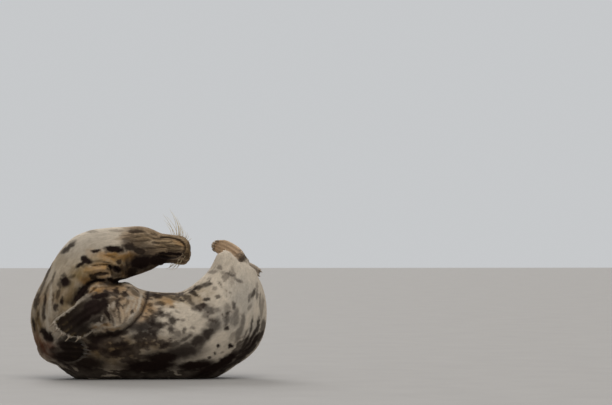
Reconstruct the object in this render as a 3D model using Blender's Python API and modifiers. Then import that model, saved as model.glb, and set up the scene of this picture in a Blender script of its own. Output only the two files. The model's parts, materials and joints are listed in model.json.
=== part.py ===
"""Grey seal cow at rest on her right flank, life size, curled so that head and hind flippers come up.

The belly faces -Y. The head end is at -X, bends up and back over the chest, and the muzzle points to +X.
Units are metres, +Z is up, and the origin is the middle of the bounding box on the floor.
"""

from math import cos, pi, radians, sin

import bmesh
import bpy
import numpy as np
from mathutils import Matrix, Vector
from mathutils.bvhtree import BVHTree

# Driving sizes
GAP = 0.0004  # clearance between neighbouring solids
GROWTH = GAP * 1.5  # how far a cutter made from a solid is grown; a little more than the clearance
SECTION_POWER = 2.25  # sections are a little squarer than ellipses
SPREAD_FROM = 0.06  # flesh below this height is pressed out on the floor
SPREAD = 1.25
VOXEL = 0.0055
SOFTENING = 4
FLESH_TRIANGLES = 3950
HEAD_WEIGHT = 0.99  # below 1 keeps more of the triangles in the head
HEAD_FROM, HEAD_TO, HEAD_ABOVE = -0.06, 0.25, 0.47  # the head lies between these X and above this Z
BELLY_SIDE = -0.02  # folds are pressed only where Y is below this

# Cross-sections from nose to hocks. "outer" is the direction of the outside of the body's bend, in degrees
# anticlockwise from straight up; the section's half width lies that way, its half depth along Y.
#   name         centre x, y, z          outer  half width, depth
SECTIONS = (
    ("muzzle_end", 0.192, 0.018, 0.598, 2, 0.048, 0.032),
    ("upper_lip", 0.170, 0.018, 0.598, 2, 0.063, 0.042),
    ("muzzle", 0.118, 0.018, 0.606, 0, 0.068, 0.046),
    ("eyes", 0.061, 0.012, 0.607, 0, 0.074, 0.062),
    ("cheekbones", 0.014, 0.006, 0.606, 1, 0.098, 0.086),
    ("skull_back", -0.033, 0.003, 0.602, 2, 0.112, 0.098),
    ("nape", -0.089, 0.0, 0.593, 7, 0.119, 0.107),
    ("neck", -0.145, 0.0, 0.584, 20, 0.130, 0.118),
    ("neck_bend", -0.197, 0.0, 0.574, 35, 0.144, 0.132),
    ("throat", -0.246, 0.0, 0.549, 50, 0.154, 0.150),
    ("breast_top", -0.289, 0.0, 0.497, 70, 0.160, 0.166),
    ("breast", -0.317, 0.0, 0.445, 87, 0.175, 0.180),
    ("chest_front", -0.336, 0.0, 0.395, 100, 0.202, 0.190),
    ("chest", -0.336, 0.0, 0.342, 111, 0.224, 0.196),
    ("right_elbow", -0.309, 0.0, 0.285, 124, 0.245, 0.200),
    ("shoulders", -0.251, 0.0, 0.244, 135, 0.252, 0.203),
    ("ribs", -0.174, 0.0, 0.211, 147, 0.249, 0.205),
    ("waist", -0.090, 0.0, 0.204, 156, 0.227, 0.206),
    ("belly", 0.000, 0.0, 0.202, 166, 0.209, 0.206),
    ("navel", 0.087, 0.0, 0.201, 177, 0.202, 0.206),
    ("loin", 0.174, 0.002, 0.202, 188, 0.204, 0.204),
    ("flank", 0.249, 0.004, 0.215, 197, 0.215, 0.200),
    ("rump", 0.322, 0.007, 0.254, 206, 0.217, 0.190),
    ("hips", 0.379, 0.010, 0.298, 215, 0.214, 0.176),
    ("pelvis", 0.414, 0.013, 0.352, 223, 0.198, 0.158),
    ("thighs", 0.430, 0.016, 0.412, 231, 0.171, 0.138),
    ("knees", 0.432, 0.019, 0.477, 240, 0.136, 0.116),
    ("shins", 0.422, 0.022, 0.528, 248, 0.100, 0.092),
)
BODY_RINGS, RING_POINTS = 120, 44
NOSE_DOME, REAR_DOME = 0.012, 0.020  # how far the domes reach past the first and the last section
DOME_STEPS = (25, 48, 67, 82)  # rings of a dome, in degrees from its rim

# The head's own axes: the chin is rolled from the viewer's side a little upwards.
HEAD_ROLL = radians(14)
HEAD_CENTRE = Vector((0.0, 0.010, 0.605))
FORWARD = Vector((1, 0, 0))
LEFT = Vector((0, -sin(HEAD_ROLL), -cos(HEAD_ROLL)))
CHIN = Vector((0, -cos(HEAD_ROLL), sin(HEAD_ROLL)))

# Swellings of the head on its own axes (forward, sideways, chinwards): centre, how far the flesh is pushed,
# and the reach of the push. A swelling with a sideways centre comes in a pair.
HEAD_SWELLINGS = (
    ("whisker_pad", (0.158, 0.056, -0.012), (0.002, 0.003, -0.004), (0.034, 0.034, 0.034)),
    ("nose", (0.190, 0.0, -0.030), (0.004, 0.0, -0.006), (0.030, 0.034, 0.026)),
    ("nose_groove", (0.204, 0.0, -0.010), (-0.004, 0.0, 0.0), (0.020, 0.009, 0.020)),
    ("lower_jaw", (0.090, 0.0, 0.052), (0.0, 0.0, 0.013), (0.086, 0.036, 0.050)),
    ("brow", (0.050, 0.044, -0.052), (0.0, 0.002, -0.004), (0.038, 0.024, 0.028)),
    ("cheek", (0.030, 0.066, -0.004), (0.0, 0.004, 0.0), (0.044, 0.030, 0.036)),
    ("eye_hollow", (0.082, 0.062, -0.034), (0.0, -0.005, 0.004), (0.018, 0.020, 0.016)),
)

# Swellings of the trunk along X, Y, Z, in the same way
TRUNK_SWELLINGS = (
    ("left_elbow", (-0.132, -0.190, 0.336), (0.006, -0.040, -0.006), (0.132, 0.200, 0.108)),
    ("left_forearm", (-0.235, -0.180, 0.320), (0.0, -0.018, 0.0), (0.090, 0.150, 0.080)),
    ("elbow_top", (-0.110, -0.060, 0.400), (0.0, 0.0, 0.036), (0.056, 0.150, 0.052)),
    ("right_elbow", (-0.470, -0.020, 0.115), (-0.012, -0.006, -0.010), (0.050, 0.150, 0.050)),
    ("throat_fold", (-0.190, -0.150, 0.505), (0.004, -0.026, -0.018), (0.110, 0.160, 0.046)),
    ("left_hock", (0.371, -0.012, 0.560), (-0.002, -0.012, 0.036), (0.056, 0.100, 0.080)),
    ("left_ankle", (0.390, 0.100, 0.530), (-0.004, 0.022, 0.010), (0.050, 0.060, 0.060)),
    ("right_hock", (0.462, 0.020, 0.520), (0.010, 0.0, 0.006), (0.056, 0.080, 0.050)),
    ("left_shoulder_blade", (-0.170, 0.190, 0.300), (0.0, 0.010, 0.0), (0.110, 0.120, 0.090)),
    ("pelvis", (0.330, 0.185, 0.330), (0.0, 0.008, 0.0), (0.090, 0.100, 0.120)),
)

# Deep folds of the skin on the belly side: the points x, z they run through, depth and half width
FOLDS = (
    ("neck_crease", ((-0.10, 0.460), (-0.165, 0.442), (-0.230, 0.465), (-0.277, 0.442), (-0.324, 0.385),
                     (-0.348, 0.352)), 0.034, 0.026),
    ("elbow_rim", ((0.004, 0.404), (-0.004, 0.362), (-0.028, 0.306), (-0.075, 0.254), (-0.141, 0.212),
                   (-0.221, 0.202)), 0.020, 0.018),
)

EYE_RADIUS = 0.0185
EYE_PLACE = (0.062, 0.050, -0.029)  # on the head's own axes
EYE_SEGMENTS, EYE_RINGS = 14, 8

# Flippers: each row is a chord across the blade, from the first digit's edge to the fifth's. Then come how
# far the middle of the row bows ahead of the chord, the half thickness and, for the fore flippers, how far
# the blade stands off the body. A negative stand-off sinks the root in the flesh. The last row is the tips.
#   first edge x, z     fifth edge x, z    bow, half thickness, stand-off
LEFT_FORE = (
    (-0.212, 0.405, -0.148, 0.266, 0.000, 0.022, -0.060),
    (-0.252, 0.400, -0.200, 0.248, 0.000, 0.019, -0.034),
    (-0.293, 0.380, -0.228, 0.237, 0.004, 0.015, -0.010),
    (-0.332, 0.353, -0.246, 0.228, 0.012, 0.012, 0.006),
    (-0.374, 0.324, -0.262, 0.215, 0.022, 0.009, 0.014),
    (-0.416, 0.295, -0.276, 0.204, 0.032, 0.007, 0.021),
    (-0.439, 0.277, -0.286, 0.196, 0.036, 0.004, 0.026),
)
RIGHT_FORE = (
    (-0.480, 0.155, -0.450, 0.115, 0.000, 0.020, -0.055),
    (-0.440, 0.182, -0.424, 0.102, 0.000, 0.017, -0.028),
    (-0.406, 0.192, -0.395, 0.088, 0.004, 0.013, -0.006),
    (-0.374, 0.193, -0.374, 0.082, 0.012, 0.010, 0.003),
    (-0.345, 0.190, -0.358, 0.082, 0.020, 0.008, 0.004),
    (-0.321, 0.186, -0.346, 0.084, 0.028, 0.006, 0.004),
    (-0.308, 0.180, -0.339, 0.088, 0.034, 0.003, 0.004),
)

#   first edge x, y, z       fifth edge x, y, z      bow, half thickness
RIGHT_HIND = (
    (0.488, 0.006, 0.500, 0.436, 0.030, 0.470, 0.000, 0.017),
    (0.482, 0.010, 0.546, 0.432, 0.036, 0.500, 0.000, 0.014),
    (0.465, 0.014, 0.575, 0.420, 0.042, 0.522, 0.000, 0.012),
    (0.442, 0.022, 0.606, 0.396, 0.050, 0.540, 0.002, 0.010),
    (0.409, 0.032, 0.632, 0.368, 0.058, 0.556, 0.006, 0.008),
    (0.370, 0.044, 0.650, 0.340, 0.066, 0.573, 0.012, 0.006),
    (0.330, 0.058, 0.649, 0.315, 0.074, 0.597, 0.020, 0.004),
)
LEFT_HIND = (
    (0.378, 0.035, 0.540, 0.366, 0.035, 0.480, 0.000, 0.017),
    (0.390, 0.085, 0.552, 0.382, 0.092, 0.484, 0.000, 0.014),
    (0.416, 0.128, 0.558, 0.402, 0.138, 0.474, 0.000, 0.012),
    (0.450, 0.160, 0.557, 0.430, 0.172, 0.458, 0.002, 0.010),
    (0.487, 0.181, 0.545, 0.462, 0.195, 0.436, 0.004, 0.008),
    (0.520, 0.194, 0.528, 0.492, 0.208, 0.414, 0.002, 0.006),
    (0.548, 0.201, 0.508, 0.519, 0.215, 0.393, -0.010, 0.004),
)
TAIL = (
    (0.462, 0.040, 0.520, 0.392, 0.040, 0.520, 0.000, 0.018),
    (0.460, 0.076, 0.552, 0.396, 0.076, 0.552, 0.000, 0.014),
    (0.455, 0.100, 0.576, 0.400, 0.100, 0.576, 0.002, 0.010),
    (0.446, 0.114, 0.592, 0.410, 0.114, 0.592, 0.010, 0.005),
)
DIGITS = (-0.8, -0.4, 0.0, 0.4, 0.8)  # places of the digits across a blade, whose edges are -1 and 1
DIGIT_WAVE = 5 * pi  # one wave of the blade for each digit
ACROSS = (1.0, 0.93, 0.8, 0.6, 0.4, 0.2, 0.0, -0.2, -0.4, -0.6, -0.8, -0.93, -1.0)
RIDGE = 0.15  # how much a digit thickens the blade
SCALLOP = 0.007  # how far a digit reaches past the web
SCALLOP_POWER = 6  # the scallops begin only near the tips

BLADE_RINGS, TAIL_RINGS = 9, 6
FORE_CLAWS = (0.040, 0.042, 0.040, 0.036, 0.030)  # lengths, first digit to fifth
HIND_CLAWS = (0.022, 0.019, 0.018, 0.019, 0.021)
CLAW_RADIUS = 0.0042
CLAW_SHAPE = ((0.0, 0.45), (0.18, 0.9), (0.45, 1.0), (0.75, 0.66), (1.0, 0.12))  # shares of length and radius
CLAW_SIDES = 5
CLAW_WIDTH = 0.8  # width over height
CLAW_BEND = 0.10  # how far the point is bent down, in lengths
CLAW_ROWS, CLAW_ROOT = 41, 37  # the claw is rooted at this row of so many along the blade

# Whiskers on the head's axes: root forward, sideways, chinwards, then the same for the tip
WHISKERS = (
    (0.145, 0.060, -0.014, 0.104, 0.190, -0.040),
    (0.152, 0.061, 0.002, 0.080, 0.172, 0.010),
    (0.160, 0.062, -0.010, 0.082, 0.140, -0.060),
    (0.168, 0.060, 0.004, 0.136, 0.150, 0.020),
    (0.176, 0.056, -0.006, 0.160, 0.108, -0.030),
    (0.183, 0.050, 0.006, 0.176, 0.086, 0.022),
)
WHISKER_RADIUS = 0.0007
WHISKER_STEPS = (0, 0.2, 0.45, 0.7, 1.0)
WHISKER_SIDES = 3
WHISKER_TAPER = 0.6  # share of the radius lost at the tip
WHISKER_BOW = 0.06  # how far a whisker is bent towards the tail, in lengths
WHISKER_DROOP = 0.004
WHISKER_STANDOFF = WHISKER_RADIUS * 3

# Cuts that part the flesh, each a plate seen from the belly side: the points x, z it runs between
CUTS = (
    ("nape", -0.054, 0.730, -0.026, 0.462),
    ("throat", -0.450, 0.585, -0.064, 0.442),
    ("waist", -0.150, -0.050, 0.058, 0.440),
    ("navel", 0.206, -0.040, 0.160, 0.450),
    ("rump", 0.560, 0.140, 0.236, 0.560),
)
CUT_REACH = 0.4  # how far a plate reaches to both sides of Y = 0
FLOOR_REACH = 1.0
# The parts the cuts leave, each by the middle of its bounds (x, z)
FLESH_PARTS = {
    "head": (0.08, 0.60),
    "neck": (-0.25, 0.58),
    "chest": (-0.24, 0.25),
    "belly": (0.03, 0.20),
    "loin": (0.34, 0.22),
    "hips": (0.42, 0.42),
}

COLOURS = {
    "pale_fur": ((0.52, 0.47, 0.38), 0.80),
    "dark_fur": ((0.16, 0.13, 0.11), 0.75),
    "eye": ((0.012, 0.009, 0.008), 0.12),
    "claw": ((0.30, 0.25, 0.18), 0.45),
    "whisker": ((0.72, 0.68, 0.58), 0.40),
}


def empty_scene():
    for obj in list(bpy.data.objects):
        bpy.data.objects.remove(obj)


def new_collection(name, hidden=False):
    collection = bpy.data.collections.new(name)
    bpy.context.scene.collection.children.link(collection)
    collection.hide_render = hidden
    return collection


def finish(name):
    """The material of that name, made once."""
    found = bpy.data.materials.get(name)
    if found:
        return found
    colour, roughness = COLOURS[name]
    made = bpy.data.materials.new(name)
    made.use_nodes = True
    shader = made.node_tree.nodes["Principled BSDF"]
    shader.inputs["Base Color"].default_value = (*colour, 1)
    shader.inputs["Roughness"].default_value = roughness
    return made


def add_object(name, mesh, collection, material=None):
    obj = bpy.data.objects.new(name, mesh)
    collection.objects.link(obj)
    if material:
        mesh.materials.append(finish(material))
    return obj


def baked(obj):
    """Replaces the object's mesh by what its modifiers make of it."""
    bpy.context.view_layer.update()
    graph = bpy.context.evaluated_depsgraph_get()
    mesh = bpy.data.meshes.new_from_object(obj.evaluated_get(graph))
    obj.modifiers.clear()
    obj.data = mesh
    return obj


def curve_through(rows, count):
    """Smooth values through the rows of a table, count of them, by cubic pieces (Catmull-Rom)."""
    rows = np.array(rows, float)
    places = np.linspace(0, len(rows) - 1, count)
    slopes = np.gradient(rows, axis=0)
    low = np.minimum(places.astype(int), len(rows) - 2)
    t = (places - low)[:, None]
    a, b, da, db = rows[low], rows[low + 1], slopes[low], slopes[low + 1]
    return (
        (2 * t**3 - 3 * t**2 + 1) * a
        + (t**3 - 2 * t**2 + t) * da
        + (3 * t**2 - 2 * t**3) * b
        + (t**3 - t**2) * db
    )


def loft(name, rings, folded=False):
    """A closed skin over rings of points. The ends are faces, or the last is folded shut along its middle."""
    shape = bmesh.new()
    loops = [[shape.verts.new(point) for point in ring] for ring in rings]
    count = len(loops[0])
    for first, second in zip(loops, loops[1:]):
        for i in range(count):
            j = (i + 1) % count
            shape.faces.new((first[i], first[j], second[j], second[i]))
    shape.faces.new(loops[0])
    last = loops[-1]
    if folded:
        half = count // 2
        shape.faces.new((last[0], last[1], last[-1]))
        for i in range(1, half - 1):
            shape.faces.new((last[i], last[i + 1], last[-i - 1], last[-i]))
        shape.faces.new((last[half - 1], last[half], last[half + 1]))
    else:
        shape.faces.new(last)
    bmesh.ops.recalc_face_normals(shape, faces=shape.faces)
    mesh = bpy.data.meshes.new(name)
    shape.to_mesh(mesh)
    shape.free()
    return mesh


def section(centre, across, along_y, half_width, half_depth):
    """One ring: a rounded box-like ellipse about centre."""
    power = 2 / SECTION_POWER
    ring = []
    for i in range(RING_POINTS):
        angle = 2 * pi * i / RING_POINTS
        c, s = cos(angle), sin(angle)
        wide = half_width * abs(c) ** power * (1 if c > 0 else -1)
        deep = half_depth * abs(s) ** power * (1 if s > 0 else -1)
        ring.append(centre + across * wide + along_y * deep)
    return ring


def body_rings():
    """The rings of the body, with a rounded dome past the first and the last."""
    table = curve_through([row[1:] for row in SECTIONS], BODY_RINGS)
    placed = []
    for x, y, z, outer, half_width, half_depth in table:
        across = Vector((-sin(radians(outer)), 0, cos(radians(outer))))
        placed.append((Vector((x, y, z)), across, half_width, half_depth))
    ahead = (placed[0][0] - placed[1][0]).normalized()
    behind = (placed[-1][0] - placed[-2][0]).normalized()

    def dome(end, way, length):
        centre, across, wide, deep = end
        for step in DOME_STEPS:
            out, shrink = sin(radians(step)), cos(radians(step))
            yield centre + way * length * out, across, wide * shrink, deep * shrink

    rows = [
        *reversed(list(dome(placed[0], ahead, NOSE_DOME))),
        *placed,
        *dome(placed[-1], behind, REAR_DOME),
    ]
    depth = Vector((0, 1, 0))
    return [section(c, across, depth, w, d) for c, across, w, d in rows]


def head_point(forward, sideways, chinwards, side=1):
    """A point on the head's own axes. side is 1 for the seal's left and -1 for its right."""
    return HEAD_CENTRE + FORWARD * forward + LEFT * sideways * side + CHIN * chinwards


def swell(points, centre, push, reach, axes):
    """Pushes the points near a centre; the push is even in the middle and fades past its reach."""
    local = (points - np.array(centre)) @ axes.T / np.array(reach)
    away = np.linalg.norm(local, axis=1)
    return points + np.exp(-(away**3))[:, None] * (np.array(push) @ axes)


def fold(points, line, depth, width):
    """Presses a fold into the belly side along a line of the X-Z plane."""
    place = points[:, (0, 2)]
    nearest = np.full(len(points), 9.0)
    for start, end in zip(line, line[1:]):
        start, way = np.array(start), np.array(end) - np.array(start)
        along = np.clip((place - start) @ way / (way @ way), 0, 1)
        nearest = np.minimum(nearest, np.linalg.norm(place - start - along[:, None] * way, axis=1))
    push = depth * np.exp(-((nearest / width) ** 2)) * (points[:, 1] < BELLY_SIDE)
    return points + push[:, None] * np.array((0, 1, 0))


def shaped(points):
    """The flesh with its swellings and folds, and the lowest of it pressed out on the floor."""
    head_axes = np.array((FORWARD, LEFT, CHIN))
    for _, centre, push, reach in HEAD_SWELLINGS:
        for side in (1, -1) if centre[1] else (1,):
            mirrored = (push[0], push[1] * side, push[2])
            points = swell(points, head_point(*centre, side), mirrored, reach, head_axes)
    for _, centre, push, reach in TRUNK_SWELLINGS:
        points = swell(points, centre, push, reach, np.eye(3))
    for _, line, depth, width in FOLDS:
        points = fold(points, line, depth, width)
    low = points[:, 2] < SPREAD_FROM
    points[low, 2] = SPREAD_FROM - (SPREAD_FROM - points[low, 2]) * SPREAD
    return points


def even_mesh(obj):
    remesh = obj.modifiers.new("even", "REMESH")
    remesh.mode = "VOXEL"
    remesh.voxel_size = VOXEL
    return baked(obj)


def flesh_solid(collection):
    """Head, neck and trunk as one closed solid."""
    obj = add_object("flesh", loft("flesh", body_rings()), collection)
    even_mesh(obj)
    points = np.array([vertex.co for vertex in obj.data.vertices])
    for vertex, point in zip(obj.data.vertices, shaped(points)):
        vertex.co = point
    even_mesh(obj)
    smooth = obj.modifiers.new("soften", "SMOOTH")
    smooth.iterations = SOFTENING
    smooth.factor = 0.5
    baked(obj)
    weight = obj.vertex_groups.new(name="weight")
    for vertex in obj.data.vertices:
        head = HEAD_FROM < vertex.co.x < HEAD_TO and vertex.co.z > HEAD_ABOVE
        weight.add([vertex.index], HEAD_WEIGHT if head else 1.0, "REPLACE")
    thin = obj.modifiers.new("thin", "DECIMATE")
    thin.ratio = FLESH_TRIANGLES / (2 * len(obj.data.polygons))
    thin.vertex_group = "weight"
    return baked(obj)


def cut_away(obj, cutter):
    """Subtracts the cutter from the object for good."""
    modifier = obj.modifiers.new("cut", "BOOLEAN")
    modifier.operation = "DIFFERENCE"
    modifier.object = cutter
    return baked(obj)


def cutter_from(name, mesh, collection):
    obj = add_object(name, mesh, collection)
    obj.display_type = "WIRE"
    obj.hide_render = True
    return obj


def grown(obj, collection):
    """A copy of the object, larger by the clearance, to cut its neighbours with."""
    copy = cutter_from(obj.name + "_clearance", obj.data.copy(), collection)
    shape = bmesh.new()
    shape.from_mesh(copy.data)
    shape.normal_update()
    for vertex in shape.verts:
        vertex.co += vertex.normal * GROWTH
    shape.to_mesh(copy.data)
    shape.free()
    return copy


def box_cutter(name, low, high, collection, place=None):
    shape = bmesh.new()
    bmesh.ops.create_cube(shape, size=1)
    middle = (Vector(low) + Vector(high)) / 2
    size = Vector(high) - Vector(low)
    place = place or Matrix.Identity(4)
    matrix = place @ Matrix.Translation(middle) @ Matrix.Diagonal((*size, 1))
    bmesh.ops.transform(shape, matrix=matrix, verts=shape.verts)
    mesh = bpy.data.meshes.new(name)
    shape.to_mesh(mesh)
    shape.free()
    return cutter_from(name, mesh, collection)


def chords(table):
    """Blade rows as three points across: first edge, middle with its bow, fifth edge."""
    middles = [(Vector(row[:3]) + Vector(row[3:6])) / 2 for row in table]
    rows = []
    for n, row in enumerate(table):
        way = middles[min(n + 1, len(table) - 1)] - middles[max(n - 1, 0)]
        middle = middles[n] + way.normalized() * row[6]
        rows.append([*row[:3], *middle, *row[3:6], row[7]])
    return rows


def draped(table, skin):
    """Rows of a blade that lies on the flesh, whose skin is under it along Y."""
    rows = chords([(ax, 0, az, bx, 0, bz, bow, thick) for ax, az, bx, bz, bow, thick, _ in table])
    for row, source in zip(rows, table):
        for i in (0, 3, 6):
            hit = skin.ray_cast(Vector((row[i], -1, row[i + 2])), Vector((0, 1, 0)))[0]
            row[i + 1] = hit.y - source[6] - source[5]
    return rows


def blade_point(row, across):
    """The point of a blade row at -1 (first edge) to 1 (fifth edge)."""
    first, middle, fifth = Vector(row[0:3]), Vector(row[3:6]), Vector(row[6:9])
    bow = middle - (first + fifth) / 2
    return (first + fifth) / 2 + (fifth - first) / 2 * across + bow * (1 - across**2)


def blade_normal(table, n, across):
    """The direction out of the blade on the viewer's side, and the direction along it."""
    before, after = table[max(n - 1, 0)], table[min(n + 1, len(table) - 1)]
    chord = Vector(table[n][6:9]) - Vector(table[n][0:3])
    along = (blade_point(after, across) - blade_point(before, across)).normalized()
    normal = along.cross(chord).normalized()
    return normal * (-1 if normal.y > 0 else 1), along


def blade(rows, digits, count):
    """Rings of a flipper: thin, with a low ridge for each digit and the digits' tips past the web."""
    table = curve_through(rows, count)
    places = [(v, 1) for v in ACROSS] + [(v, -1) for v in ACROSS[-2:0:-1]]
    rings = []
    for n, row in enumerate(table):
        grow = n / (count - 1)
        ring = []
        for across, face in places:
            normal, along = blade_normal(table, n, across)
            wave = cos(DIGIT_WAVE * across) if digits else 0
            thick = row[9] * face * (1 - across**2) ** 0.5 * (1 + RIDGE * wave * min(1, 2 * grow))
            reach = SCALLOP * wave * grow**SCALLOP_POWER
            ring.append(blade_point(row, across) + normal * thick + along * reach)
        rings.append(ring)
    return rings


def claw(name, rows, across, length):
    """A horny claw on a digit: a bent cone that lies on the viewer's side of the tip and reaches past it."""
    table = curve_through(rows, CLAW_ROWS)
    normal, along = blade_normal(table, CLAW_ROOT, across)
    rise = table[CLAW_ROOT][9] * (1 + RIDGE) * (1 - across**2) ** 0.5 + CLAW_RADIUS + GAP * 2
    start = blade_point(table[CLAW_ROOT], across) + normal * rise
    side = along.cross(normal)
    rings = []
    for step, size in CLAW_SHAPE:
        radius = CLAW_RADIUS * size
        centre = start + along * length * step - normal * length * CLAW_BEND * step**3
        ring = []
        for i in range(CLAW_SIDES):
            angle = 2 * pi * i / CLAW_SIDES
            ring.append(centre + side * radius * CLAW_WIDTH * cos(angle) + normal * radius * sin(angle))
        rings.append(ring)
    return loft(name, rings)


def whisker(name, row, side, skin):
    """One stiff hair: a tapering three-sided tube bowed towards the tail, rooted just off the skin."""
    root, tip = head_point(*row[:3], side), head_point(*row[3:], side)
    way = (root - tip).normalized()
    root = skin.ray_cast(tip, way)[0] - way * WHISKER_STANDOFF
    bow = -FORWARD * (tip - root).length * WHISKER_BOW + CHIN * WHISKER_DROOP
    across = (tip - root).cross(FORWARD).normalized()
    other = (tip - root).cross(across).normalized()
    rings = []
    for step in WHISKER_STEPS:
        radius = WHISKER_RADIUS * (1 - WHISKER_TAPER * step)
        centre = root.lerp(tip, step) - bow * (1 - (2 * step - 1) ** 2)
        angles = [2 * pi * i / WHISKER_SIDES for i in range(WHISKER_SIDES)]
        rings.append([centre + (across * cos(angle) + other * sin(angle)) * radius for angle in angles])
    return loft(name, rings)


def eye(name, side, collection):
    shape = bmesh.new()
    bmesh.ops.create_uvsphere(shape, u_segments=EYE_SEGMENTS, v_segments=EYE_RINGS, radius=EYE_RADIUS)
    bmesh.ops.translate(shape, vec=head_point(*EYE_PLACE, side), verts=shape.verts)
    mesh = bpy.data.meshes.new(name)
    shape.to_mesh(mesh)
    shape.free()
    return add_object(name, mesh, collection, "eye")


def cut_plate(name, x0, z0, x1, z1, collection):
    """A thin upright plate between two points of the X-Z plane."""
    length = Vector((x1 - x0, 0, z1 - z0)).length
    along = Vector((x1 - x0, 0, z1 - z0)).normalized()
    across = Vector((-along.z, 0, along.x))
    place = Matrix.Translation((x0, 0, z0)) @ Matrix((along, (0, 1, 0), across)).transposed().to_4x4()
    low, high = (0, -CUT_REACH, -GAP / 2), (length, CUT_REACH, GAP / 2)
    return box_cutter(name + "_cut", low, high, collection, place)


def split_flesh(obj, collection):
    """Makes a node of each piece that the cuts have parted, named by where it lies."""
    whole = bmesh.new()
    whole.from_mesh(obj.data)
    left = set(whole.verts)
    while left:
        group, front = set(), [left.pop()]
        while front:
            vertex = front.pop()
            group.add(vertex.index)
            near = {edge.other_vert(vertex) for edge in vertex.link_edges} & left
            left -= near
            front += near
        piece = bmesh.new()
        piece.from_mesh(obj.data)
        others = [vertex for vertex in piece.verts if vertex.index not in group]
        bmesh.ops.delete(piece, geom=others, context="VERTS")
        xs = [vertex.co.x for vertex in piece.verts]
        zs = [vertex.co.z for vertex in piece.verts]
        middle = Vector(((min(xs) + max(xs)) / 2, (min(zs) + max(zs)) / 2))
        name = min(FLESH_PARTS, key=lambda part: (Vector(FLESH_PARTS[part]) - middle).length)
        mesh = bpy.data.meshes.new(name)
        piece.to_mesh(mesh)
        piece.free()
        add_object(name, mesh, collection, "pale_fur")
    whole.free()
    bpy.data.objects.remove(obj)


def corners(objects):
    """The low and high corners of the objects' common bounds."""
    points = np.array([obj.matrix_world @ v.co for obj in objects for v in obj.data.vertices])
    return points.min(axis=0), points.max(axis=0)


def settle(collection):
    """Sets the whole seal over the origin, and each node's own origin in the middle of the node."""
    low, high = corners(collection.objects)
    shift = Vector((-(low[0] + high[0]) / 2, -(low[1] + high[1]) / 2, -low[2]))
    for obj in collection.objects:
        own_low, own_high = corners([obj])
        middle = Vector((own_low + own_high) / 2)
        obj.data.transform(Matrix.Translation(-middle))
        obj.location = middle + shift


def main():
    empty_scene()
    seal = new_collection("grey_seal")
    helpers = new_collection("cutters", hidden=True)

    flesh = flesh_solid(seal)
    below = (-FLOOR_REACH, -FLOOR_REACH, -FLOOR_REACH), (FLOOR_REACH, FLOOR_REACH, 0)
    cut_away(flesh, box_cutter("floor", *below, helpers))
    for name, side in (("left_eye", 1), ("right_eye", -1)):
        cut_away(flesh, grown(eye(name, side, seal), helpers))

    around = grown(flesh, helpers)
    skin = BVHTree.FromPolygons(
        [vertex.co for vertex in flesh.data.vertices],
        [polygon.vertices for polygon in flesh.data.polygons],
    )
    blades = {
        "left_fore_flipper": (draped(LEFT_FORE, skin), FORE_CLAWS, BLADE_RINGS),
        "right_fore_flipper": (draped(RIGHT_FORE, skin), FORE_CLAWS, BLADE_RINGS),
        "left_hind_flipper": (chords(LEFT_HIND), HIND_CLAWS, BLADE_RINGS),
        "right_hind_flipper": (chords(RIGHT_HIND), HIND_CLAWS, BLADE_RINGS),
        "tail": (chords(TAIL), (), TAIL_RINGS),
    }
    for name, (rows, claws, count) in blades.items():
        flipper = add_object(name, loft(name, blade(rows, claws, count), folded=True), seal, "dark_fur")
        cut_away(flipper, around)
        for digit, (across, length) in enumerate(zip(DIGITS, claws), 1):
            part = name.replace("flipper", f"claw_{digit}")
            add_object(part, claw(part, rows, across, length), seal, "claw")
    for side, word in ((1, "left"), (-1, "right")):
        for number, row in enumerate(WHISKERS, 1):
            part = f"{word}_whisker_{number}"
            add_object(part, whisker(part, row, side, skin), seal, "whisker")

    for row in CUTS:
        cut_away(flesh, cut_plate(*row, helpers))
    split_flesh(flesh, seal)
    settle(seal)


if __name__ == "__main__":
    main()
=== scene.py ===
import json
from contextlib import contextmanager
from math import cos, pi, radians, sin
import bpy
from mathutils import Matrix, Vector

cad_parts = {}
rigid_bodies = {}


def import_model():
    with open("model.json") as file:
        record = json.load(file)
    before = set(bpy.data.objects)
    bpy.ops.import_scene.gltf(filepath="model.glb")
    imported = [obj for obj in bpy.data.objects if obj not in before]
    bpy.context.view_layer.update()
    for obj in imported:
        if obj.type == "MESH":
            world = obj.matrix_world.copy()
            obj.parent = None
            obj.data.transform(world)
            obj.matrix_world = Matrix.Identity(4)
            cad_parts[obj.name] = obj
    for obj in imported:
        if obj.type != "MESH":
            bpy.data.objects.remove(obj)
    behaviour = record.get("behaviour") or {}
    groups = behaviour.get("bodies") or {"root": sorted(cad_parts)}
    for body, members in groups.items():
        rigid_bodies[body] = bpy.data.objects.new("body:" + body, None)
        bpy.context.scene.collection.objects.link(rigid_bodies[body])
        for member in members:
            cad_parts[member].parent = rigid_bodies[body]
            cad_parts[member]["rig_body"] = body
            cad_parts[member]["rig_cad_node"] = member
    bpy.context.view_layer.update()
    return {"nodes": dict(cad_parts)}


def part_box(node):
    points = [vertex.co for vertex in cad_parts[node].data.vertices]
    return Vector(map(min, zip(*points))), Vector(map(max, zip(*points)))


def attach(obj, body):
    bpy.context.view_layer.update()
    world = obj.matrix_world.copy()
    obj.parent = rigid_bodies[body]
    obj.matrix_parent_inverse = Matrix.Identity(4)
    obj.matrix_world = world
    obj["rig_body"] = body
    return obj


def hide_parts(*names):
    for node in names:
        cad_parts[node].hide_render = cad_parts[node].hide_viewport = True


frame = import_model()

from types import SimpleNamespace

import bpy
import numpy as np
from bpy.props import FloatProperty, FloatVectorProperty, IntProperty, PointerProperty
from mathutils import Vector, noise
from mathutils.bvhtree import BVHTree
from mathutils.kdtree import KDTree

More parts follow.
